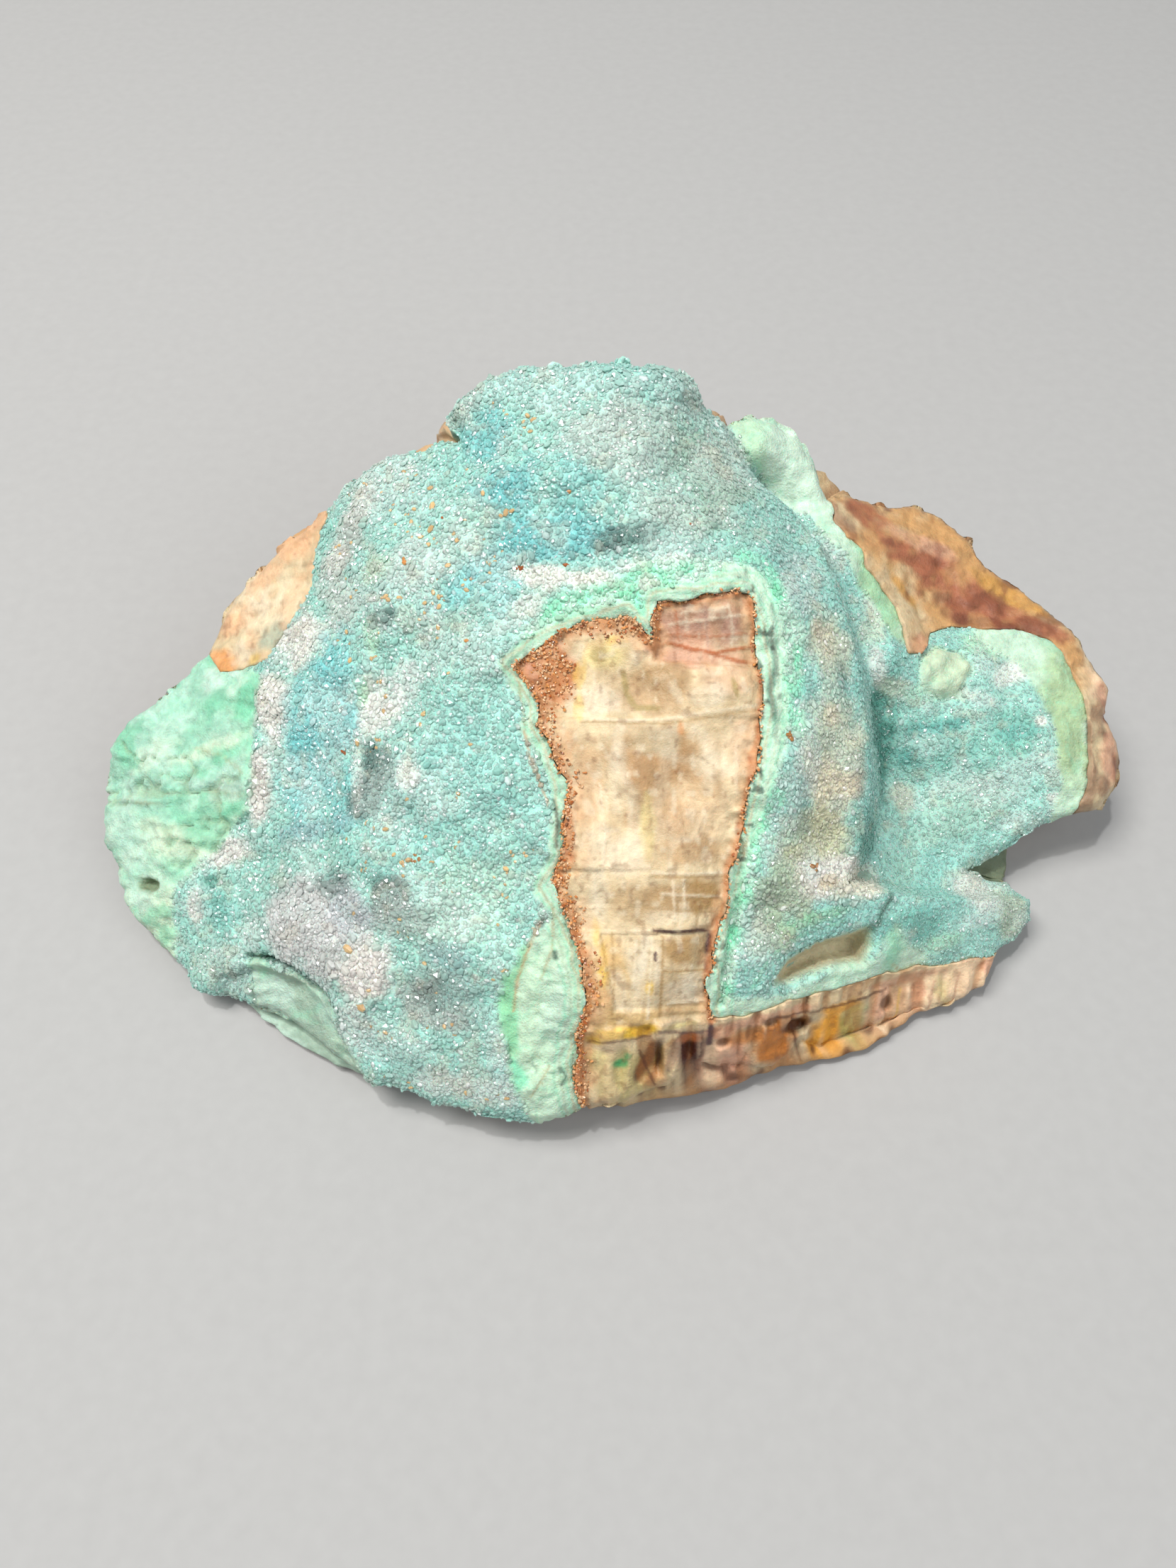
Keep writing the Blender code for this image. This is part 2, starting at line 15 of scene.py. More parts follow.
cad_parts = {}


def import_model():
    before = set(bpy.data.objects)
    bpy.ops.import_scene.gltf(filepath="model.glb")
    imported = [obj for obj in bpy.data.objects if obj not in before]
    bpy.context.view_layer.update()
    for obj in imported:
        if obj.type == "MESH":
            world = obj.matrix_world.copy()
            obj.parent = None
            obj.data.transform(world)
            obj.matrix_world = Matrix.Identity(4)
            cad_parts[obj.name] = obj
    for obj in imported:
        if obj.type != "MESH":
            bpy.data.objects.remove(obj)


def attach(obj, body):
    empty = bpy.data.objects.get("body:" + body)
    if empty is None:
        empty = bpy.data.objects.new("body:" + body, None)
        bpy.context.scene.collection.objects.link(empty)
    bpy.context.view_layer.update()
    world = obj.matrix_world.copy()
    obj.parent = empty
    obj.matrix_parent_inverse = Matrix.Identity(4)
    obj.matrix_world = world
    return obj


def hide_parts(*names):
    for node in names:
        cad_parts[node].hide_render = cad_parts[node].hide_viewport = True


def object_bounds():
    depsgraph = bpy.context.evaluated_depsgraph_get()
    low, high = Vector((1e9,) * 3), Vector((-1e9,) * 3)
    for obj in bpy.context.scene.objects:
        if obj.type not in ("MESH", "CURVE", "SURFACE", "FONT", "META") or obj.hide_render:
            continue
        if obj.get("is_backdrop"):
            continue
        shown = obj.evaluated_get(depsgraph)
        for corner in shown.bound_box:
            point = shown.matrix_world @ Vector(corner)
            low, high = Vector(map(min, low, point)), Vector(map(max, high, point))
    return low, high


MM = 0.001
SEED = 7

# Pose of the display face, the middle that becomes the origin, and the camera's place before it.
FACE_TILT = math.radians(31.0)
FACE_HEIGHT = 18.0
CENTRE_X = 2.1
CENTRE_Y = 8.0
EYE_DISTANCE = 72.0
LENS = 27.0
SENSOR = 36.0
NEAR_CLIP = 0.001

# The crust and its contact with the rock.
CRUST_THICKNESS = 2.2
WING_THICKNESS = 2.9
WING_FROM = -20.0
WING_FULL = -26.0
CLEARANCE = 0.3
THINNEST = 0.6
UNDERSIDE_MIN = 0.5
SEAT_WIDTH = 0.06
SEAT_CORNER = 0.4

# Mesh spacing.
EDGE_STEP = 0.2
CRUST_STEP = 0.26
NEAR_STEP = 0.16
BARE_STEP = 0.25
WINDOW_STEP = 0.14
HIDDEN_STEP = 2.2
WALL_ROWS = 6
SKIRT_RINGS = 26

# Outlines on the face (u, v), clockwise from the lowest tip of the crust.
LEFT_EDGE = [
    (-0.3, -20.9), (-3.0, -22.0), (-5.5, -21.5), (-9.6, -20.9), (-12.8, -19.5), (-14.0, -19.9),
    (-15.6, -19.0), (-18.3, -17.3), (-21.2, -15.7), (-24.2, -15.2), (-27.4, -14.3), (-28.1, -13.1),
    (-30.4, -11.3), (-32.4, -9.5), (-33.9, -7.0), (-34.9, -4.0), (-35.2, -0.6), (-34.6, 2.8),
    (-33.3, 4.6), (-30.8, 6.3), (-28.9, 7.8), (-27.7, 9.6),
]
LEFT_BACK_CRUST = [
    (-27.7, 9.6), (-26.1, 8.0), (-24.1, 8.1), (-21.9, 8.7), (-20.5, 10.7), (-19.1, 12.8),
    (-18.8, 15.2), (-18.3, 18.8),
]
LEFT_BACK_ROCK = [(-27.7, 9.6), (-26.6, 12.5), (-24.9, 14.5), (-22.4, 16.4), (-19.9, 18.0), (-18.3, 18.8)]
CROWN = [
    (-18.3, 18.8), (-16.6, 20.4), (-14.7, 21.8), (-13.0, 22.4), (-11.5, 22.5), (-9.9, 22.9),
    (-8.8, 22.4), (-8.4, 23.2), (-9.0, 24.3), (-8.6, 25.3), (-7.5, 26.0), (-5.6, 27.1),
    (-3.0, 27.2), (-0.5, 27.0), (1.9, 27.2), (3.1, 26.6), (5.0, 27.1), (6.2, 26.7),
    (7.3, 25.7), (8.2, 24.4), (9.6, 24.8), (11.3, 25.7), (13.3, 25.5), (15.0, 24.5),
    (16.2, 22.8), (17.1, 20.4),
]
RIGHT_BACK_CRUST = [
    (17.1, 20.4), (17.3, 18.4), (18.7, 16.7), (19.9, 14.6), (21.5, 12.5), (22.1, 11.0),
    (22.4, 9.2), (23.5, 9.1), (24.5, 10.7), (26.4, 11.5), (29.0, 11.3), (32.0, 11.1),
    (34.0, 10.4), (35.3, 8.5), (36.2, 5.4), (36.4, 2.9), (35.9, 0.0), (35.2, -2.3),
]
RIGHT_BACK_ROCK = [
    (17.1, 20.4), (19.5, 21.0), (22.0, 20.5), (24.1, 21.0), (26.6, 20.4), (28.7, 18.3),
    (29.9, 16.4), (32.5, 14.8), (34.7, 13.0), (36.2, 11.0), (37.7, 8.6), (38.6, 6.7),
    (37.9, 5.0), (39.3, 3.2), (39.5, 1.8), (38.8, -0.1), (37.5, -1.8), (35.2, -2.3),
]
RIGHT_EDGE = [
    (35.2, -2.3), (33.5, -2.7), (31.4, -3.7), (29.8, -5.1), (27.3, -6.2), (28.8, -6.9),
    (30.5, -7.2), (31.5, -8.1), (31.6, -9.8), (30.7, -11.1), (28.9, -11.8),
]
FRONT_CRUST = [
    (28.9, -11.8), (26.1, -12.1), (23.0, -12.4), (20.0, -12.6), (18.2, -13.0), (15.9, -13.6),
    (13.1, -13.9), (10.2, -14.5), (7.8, -14.8),
]
FRONT_ROCK = [
    (28.9, -11.8), (27.9, -14.2), (25.9, -15.3), (22.7, -15.9), (18.9, -17.1), (15.6, -17.9),
    (14.2, -17.3), (12.4, -19.1), (9.9, -18.7), (8.0, -18.4), (6.8, -17.9), (5.2, -19.4),
    (2.5, -20.5), (-0.3, -20.9),
]
WINDOW_RIGHT = [
    (7.8, -14.8), (7.5, -12.1), (7.8, -9.6), (8.4, -7.2), (8.9, -4.8), (9.5, -2.4), (9.8, 0.0),
    (10.4, 2.4), (10.7, 4.8), (10.6, 7.2), (10.3, 9.8), (9.6, 11.8),
]
WINDOW_TOP = [
    (9.6, 11.8), (6.7, 11.4), (4.1, 11.0), (3.9, 8.4), (3.2, 9.5), (2.3, 10.2), (-0.2, 9.8),
    (-2.4, 8.9), (-4.6, 7.4),
]
# How many points of the window's left side lie above the front rim.
LEFT_ABOVE_RIM = 14
WINDOW_LEFT = [
    (-4.6, 7.4), (-3.6, 6.1), (-2.9, 4.8), (-3.1, 3.5), (-2.3, 2.5), (-1.6, 0.0), (-1.4, -2.4),
    (-1.4, -4.4), (-2.4, -6.3), (-1.6, -7.3), (-1.0, -8.9), (-0.4, -10.9), (0.0, -13.1),
    (-0.4, -15.3), (-0.8, -17.4), (-0.6, -19.8), (-0.3, -20.9),
]

# Heights (u, v, w) of the dome, the window, the left wing and the front rock.
DOME_RELIEF = [
    (-0.5, 27.0, -3.2), (-7.0, 26.0, -4.6), (-8.5, 24.0, -5.5), (6.5, 26.0, -4.4), (8.5, 24.0, -6.5),
    (-0.5, 21.5, -1.2), (-4.5, 20.5, -2.2), (-5.5, 17.5, -2.2), (3.5, 21.5, -1.2), (6.5, 18.5, -1.8),
    (10.5, 18.0, -4.0), (13.5, 16.0, -5.5), (-0.5, 15.5, -0.6), (2.5, 12.5, 0.3), (7.0, 13.0, 0.1),
    (11.0, 11.0, -0.6), (14.5, 9.0, -2.2), (16.0, 5.0, -2.8), (17.0, 0.0, -3.4), (16.0, -4.0, -3.6),
    (12.0, 5.0, 0.0), (12.5, 0.0, -0.5), (12.0, -5.0, -1.3),
]
WINDOW_RELIEF = [
    (-2.5, 7.0, 0.3), (4.0, 8.5, 0.5), (9.5, 7.0, 0.4), (4.0, 0.0, 0.5), (-0.5, 0.0, 0.4),
    (9.0, 0.0, 0.4), (4.0, -9.5, 0.2), (-0.5, -9.5, -0.2), (7.0, -9.5, -0.2), (3.5, -14.5, -0.8),
    (4.0, -20.5, -4.4), (-0.5, -21.0, -3.4),
]
LOWER_RIGHT_RELIEF = [
    (10.5, -9.0, -1.6), (14.5, -7.0, -2.2), (17.5, -7.0, -3.6), (9.0, -14.5, -2.4),
    (14.5, -11.5, -3.8), (18.0, -12.5, -5.8), (21.5, -9.5, -6.2), (23.0, -12.5, -8.2),
    (27.0, -9.0, -9.0), (29.0, -11.5, -10.5), (31.0, -9.0, -11.5), (28.0, -14.0, -10.6),
    (22.5, -16.0, -9.6), (15.5, -18.0, -8.0), (12.5, -19.0, -7.0), (8.0, -18.5, -5.2),
]
LEFT_RELIEF = [
    (-7.5, 9.5, -0.8), (-5.5, 2.5, -0.2), (-7.0, -2.5, 0.0), (-4.5, -7.0, -0.2), (-7.5, -12.0, -0.8),
    (-5.5, -17.5, -2.0), (-5.5, -21.5, -3.6), (-9.5, -16.5, -2.4), (-9.5, -21.0, -4.0),
    (-14.0, -20.0, -5.0), (-12.5, 15.0, -3.6), (-12.0, 21.5, -7.0), (-16.5, 19.0, -8.0),
    (-12.5, 7.5, -2.6), (-12.5, 0.0, -1.8), (-12.5, -6.0, -1.8), (-13.5, -12.5, -3.0),
    (-17.0, -15.5, -5.0), (-18.5, -17.5, -6.5), (-17.0, 12.5, -6.0), (-18.0, 6.0, -5.5),
    (-18.0, 0.0, -5.6), (-17.5, -6.5, -4.0), (-19.0, -10.5, -5.0), (-21.0, -15.5, -7.5),
]
WING_RELIEF = [
    (-21.5, 8.0, -8.0), (-21.5, 2.5, -7.0), (-21.5, -2.5, -7.0), (-22.0, -8.0, -7.0),
    (-24.0, -11.5, -8.0), (-24.0, -15.0, -8.5), (-27.5, 5.5, -11.0), (-30.5, 3.0, -11.5),
    (-35.0, 0.0, -13.2), (-27.0, 0.0, -9.5), (-33.0, -3.0, -11.8), (-27.0, -5.5, -9.0),
    (-31.5, -6.5, -11.0), (-34.0, -7.0, -12.5), (-30.5, -10.0, -10.6), (-28.0, -13.0, -9.8),
    (-31.0, 6.5, -12.8), (-27.5, 9.5, -12.8), (-25.0, 11.0, -11.8), (-22.0, 13.0, -10.5),
    (-23.5, 15.0, -12.6), (-20.0, 16.5, -9.8), (-18.5, 19.0, -9.0),
]
HIGH_RELIEF = DOME_RELIEF + WINDOW_RELIEF + LOWER_RIGHT_RELIEF + LEFT_RELIEF + WING_RELIEF

# Heights of the lower ground on the right: the knob, the right wing and the rock behind it.
LOW_RELIEF = [
    (10.5, 25.0, -10.0), (13.5, 25.0, -11.0), (11.5, 22.0, -9.2), (14.5, 22.0, -10.8),
    (17.0, 20.0, -12.0), (19.0, 17.0, -11.0), (16.5, 15.0, -9.0), (19.0, 12.0, -9.0),
    (20.5, 8.0, -8.6), (22.0, 9.5, -9.8), (19.5, 21.0, -14.0), (24.0, 21.0, -16.0),
    (23.5, 17.0, -13.5), (28.0, 15.0, -15.0), (30.0, 16.5, -16.5), (31.5, 12.0, -14.5),
    (24.0, 12.0, -12.0), (34.5, 13.0, -16.0), (35.0, 10.0, -14.6), (38.5, 6.5, -15.2),
    (22.0, 5.5, -10.3), (21.0, 0.0, -11.8), (25.0, 3.0, -11.0), (25.0, -2.0, -11.6),
    (30.0, 6.5, -12.2), (30.5, 2.0, -11.8), (30.0, -2.5, -12.6), (35.0, 2.5, -13.0),
    (39.5, 2.5, -14.8), (37.5, -2.0, -14.0), (33.5, -2.5, -13.2), (27.5, -6.0, -12.0),
    (22.0, -5.0, -10.6), (20.0, -6.0, -9.0), (8.5, 17.0, -14.0), (9.0, 0.0, -16.0),
    (14.0, -8.5, -13.0), (11.5, 21.5, -13.0), (22.5, -10.0, -11.0), (28.0, -9.5, -12.5),
    (32.0, -9.5, -14.0),
]

# The brow of the dome (v, u): past this line its right side falls away to the low ground.
BROW = [
    (-40.0, 60.0), (-9.0, 40.0), (-7.5, 22.0), (-6.4, 16.4), (-3.9, 17.6), (-1.0, 18.2), (2.5, 18.2),
    (6.5, 17.8), (10.1, 17.0), (16.1, 15.3), (18.3, 13.4), (20.6, 10.3), (24.0, 8.8), (40.0, 2.0),
]
BROW_FALL = 2.2
LOW_FROM = 8.0
LOW_FALL = 3.0
SHEET_BLEND = 0.7

# A hollow above the front rim, and the broken ledge at the lower left.
HOLLOW = [
    (11.0, -13.0), (12.5, -11.0), (14.5, -9.8), (16.5, -9.3), (18.6, -8.8), (19.0, -10.5),
    (18.4, -12.2), (16.0, -12.3), (14.3, -12.8), (12.8, -13.3),
]
HOLLOW_DEPTH = 2.3
HOLLOW_SIDE = 1.3
LEDGE = [
    (-23.0, -12.0), (-21.5, -12.0), (-19.5, -12.5), (-18.0, -13.0), (-16.5, -15.0), (-15.5, -17.0),
    (-14.0, -20.0), (-14.0, -25.0), (-26.0, -25.0), (-26.0, -13.0),
]
LEDGE_DEPTH = 1.1
LEDGE_SIDE = 0.8

# Lumps of the surfaces, the same as in the solids: size and height of each.
LUMPS = [(6.0, 0.5), (2.8, 0.4)]
ROCK_LUMPS = [(7.0, 0.6), (3.2, 0.4)]

# The flat base (x, y) at z = 0, about a middle inside it.
BASE = [
    (-26.0, -2.0), (-20.0, -9.0), (-10.0, -12.0), (0.0, -13.0), (12.0, -11.0), (22.0, -7.0),
    (28.0, 0.0), (31.0, 8.0), (30.0, 18.0), (24.0, 27.0), (12.0, 31.0), (0.0, 32.0),
    (-12.0, 30.0), (-22.0, 24.0), (-28.0, 14.0), (-29.0, 5.0),
]
BASE_MIDDLE = (1.0, 9.0)
BACK_BULGE = 3.2

# Flat breaks of the rock: direction round the middle, upward lean, and reach from the middle at
# the break height.
BREAKS = [
    (-10.0, 5.0, 30.0), (18.0, 12.0, 31.0), (38.0, 8.0, 31.5), (58.0, 20.0, 26.0), (74.0, 6.0, 25.0),
    (92.0, 18.0, 23.5), (108.0, 4.0, 25.0), (127.0, 18.0, 25.0), (144.0, 8.0, 27.5),
    (163.0, 12.0, 29.5), (186.0, 6.0, 30.5),
]
BREAK_HEIGHT = 9.0

# Chalky ground without crystals (u, v).
CHALK_RINGS = {
    "wing": [
        (-22.5, 7.6), (-22.6, 1.5), (-23.1, -1.6), (-25.2, -4.2), (-26.9, -5.8), (-28.2, -7.2),
        (-28.7, -9.2), (-28.9, -12.5), (-36.0, -12.0), (-38.0, 0.0), (-34.0, 8.0), (-27.7, 11.0),
    ],
    "broken_edge": [
        (-22.5, -11.8), (-19.7, -12.3), (-17.4, -13.5), (-16.2, -16.0), (-14.8, -18.9),
        (-13.7, -21.0), (-24.0, -18.0),
    ],
    "plate": [
        (-1.9, -7.8), (-3.2, -8.9), (-4.8, -11.6), (-5.6, -13.7), (-5.1, -17.1), (-4.1, -20.6),
        (-2.9, -23.0), (1.5, -22.0), (1.5, -7.8),
    ],
    "knob": [
        (9.6, 25.4), (10.9, 26.2), (14.5, 26.0), (16.4, 22.8), (17.6, 20.0), (17.2, 18.0),
        (14.4, 19.3), (10.9, 22.6),
    ],
    "margin": [
        (27.5, 12.4), (28.6, 10.2), (31.2, 8.4), (33.4, 4.9), (33.8, 0.6), (33.2, -2.4),
        (35.8, -4.0), (38.0, 0.0), (38.0, 8.0), (34.0, 12.5),
    ],
    "lower_lip": [
        (8.6, -13.4), (11.2, -13.3), (12.8, -13.3), (14.5, -12.6), (16.5, -11.9), (18.7, -11.3),
        (20.2, -8.6), (21.2, -10.5), (24.0, -12.0), (20.0, -13.5), (13.0, -15.0), (8.0, -16.0),
    ],
}

# The round broken spot, the lining's width, the rusty corner and the green ring about the window.
SCAR = (25.2, 8.0, 2.1, 1.9)
LINING = 0.9
LINING_MORE = 0.8
RUSTY_CORNER = (-2.2, 7.2, 1.2, 2.7, 15.0)
BACK_LINING = 1.3
GREEN_RING = [
    (-4.3, 9.1), (-2.6, 11.3), (1.0, 12.4), (5.2, 13.5), (9.5, 13.6), (11.9, 12.1), (13.7, 9.3),
    (12.6, 5.8), (11.4, 1.8), (10.6, -3.3), (9.7, -8.1), (8.9, -13.0), (7.6, -14.8), (7.0, 0.0),
    (4.0, 8.0), (-2.0, 7.0),
]

# The groove beside the window, the pit of the left wing and the crack at the lower left.
GROOVE = [(9.4, -3.6), (9.1, -8.3), (8.7, -11.0), (8.3, -13.8)]
GROOVE_DEPTH = 0.55
GROOVE_WIDTH = 0.45
WING_PIT = (-30.8, -7.1, 1.1, 0.55)
WING_PIT_DEPTH = 1.2
CRACK = [
    (-22.9, -11.6), (-21.4, -11.5), (-19.9, -12.1), (-18.6, -12.9), (-17.3, -13.7), (-16.4, -15.2),
]
CRACK_DEPTH = 1.3
CRACK_WIDTH = 0.38

# Cleavage blocks of the calcite in the window: upper and lower v, how far each stands, its slope
# along u and along v.
BLOCKS = [
    (20.0, 4.05, 0.0, 0.03, -0.02), (4.05, -5.2, 0.22, -0.02, 0.02), (-5.2, -9.05, -0.05, 0.02, 0.0),
    (-9.05, -14.6, 0.1, -0.015, 0.03),
]
BLOCK_STEP = 0.07
WINDOW_MIDDLE = 4.0
WINDOW_HIGH = 8.0
SUNK_BLOCK = [(3.9, 12.5), (3.9, 7.4), (10.8, 6.9), (10.8, 12.5)]
SUNK_DEPTH = 0.5
LOW_BLOCK = [(0.6, -9.0), (7.6, -9.0), (7.4, -14.2), (1.6, -14.0)]
LOW_BLOCK_DEPTH = 0.3

# Colours as they look in the light, and how much of that light each kind of ground gives back. The lining
# right of the window gets a larger share, which is painted light on a side that faces away from the key.
DRUSE_GAIN = 0.80
LINING_PAINTED_LIGHT_GAIN = 0.80
CHALK_GAIN = 0.74
STONE_GAIN = 0.75
PALETTE = {
    "aqua": "a6dbcc", "aqua_deep": "8fd0c6", "deep_blue": "7ac8c6", "valley_blue": "82d2d0",
    "crown": "b4dcd1", "grey_aqua": "b6cfc3", "olive_aqua": "a8c0ac", "dark": "46625c", "grey": "a6b1a8",
    "grey_blue": "8ab2b6", "lilac": "ccd3c8", "lilac_grey": "bec5c8", "cream_white": "ecece0",
    "white_aqua": "cfe2d8", "pink_grey": "d2d4d0", "pink_white": "e8e4da", "pale_green": "ccf2da",
    "white_fuzz": "f2faea", "bright_green": "8ee8bc", "dome_grey": "e2d6b6", "dome_green": "cccaa4",
    # The teal colour is the crust's own teal made darker with painted shade, for the valley right of the
    # dome.
    "teal_and_shade": "4f9484", "wing_aqua": "86c8b6", "wing_light": "a6d2c0", "wing_teal": "80c4b4",
    "wing_deep": "6cb8ac", "wing_green": "b0dfc0", "tan_white": "cfc4ac", "ridge": "c6d6bf",
    "lump_white": "ece6d0", "tan": "b59a6c", "spur": "b7cbb4", "facet": "b3c7aa", "facet_green": "a4dab0",
    "mint": "a4d8bd", "mint_green": "92d9b4", "mint_yellow": "d2e8ca", "mint_grey": "aed3c0",
    "olive_mint": "9fb494", "mint_pale": "cae6d4", "mint_broken": "a6c0ab", "plate": "cae8c9",
    "plate_green": "93d6a6", "knob": "cfe8d2", "scar": "c8dcbc", "margin": "b0cc9f", "wing_vein": "74c69e",
    "back_lining": "a9d2a8", "stain": "cfae7e", "lip": "c8e6cc", "hollow": "bdb190", "pit": "829473",
    # The dark crust colour is the real dark of the crust's cracks and layers, and also painted shade in the
    # notch at the right, along the crack at the lower left and in the channel beside the hollow.
    "black": "2e3a30", "crust_dark_and_shade": "4f7a68", "crust_back": "a8c2ae", "honey": "e6cfa6",
    "honey_tan": "b29062", "honey_clear": "bd9668", "grey_honey": "c4b08a", "honey_pink": "e0bd98",
    "pink_tan": "ddb98f", "cream": "efdcbc", "veil": "f2e4c6", "pale_yellow": "efdb9a", "yellow": "f3c53e",
    "olive": "b09a62", "tan_dark": "ab8752", "orange": "e09a58", "rust": "b0602e", "rust_pink": "cf8f6e",
    "rim": "c8824c", "rim_pale": "dfb284", "purple_brown": "b08a78", "red_brown": "cf9f80",
    "low_cream": "dfb877", "cream_yellow": "cdbb80", "malachite": "4f9e62", "rock_tan": "d2a072",
    # The dark rock colour is the dark brown of the front rim together with painted shade in its gaps, pits
    # and creases.
    "rock_amber": "c47a34", "rock_pink": "e4ac8c", "rock_dark_and_shade": "5a3018", "rock_orange": "f0a838",
    "rock_cream": "f2d2ac", "yellow_green": "b8b060", "knot": "4c2014", "seam": "503038",
    "back_cream": "eedcb8", "back_orange": "ecbc90", "back_green": "bcc0a6", "back_brown": "a8684a",
    "back_dark": "7a4632", "back_pale": "cf9f68", "back_ochre": "d09c54", "back_rose": "d9a98a",
    "limonite": "b07c48", "limonite_dark": "7c4e2c", "calcite": "d8c29a",
}

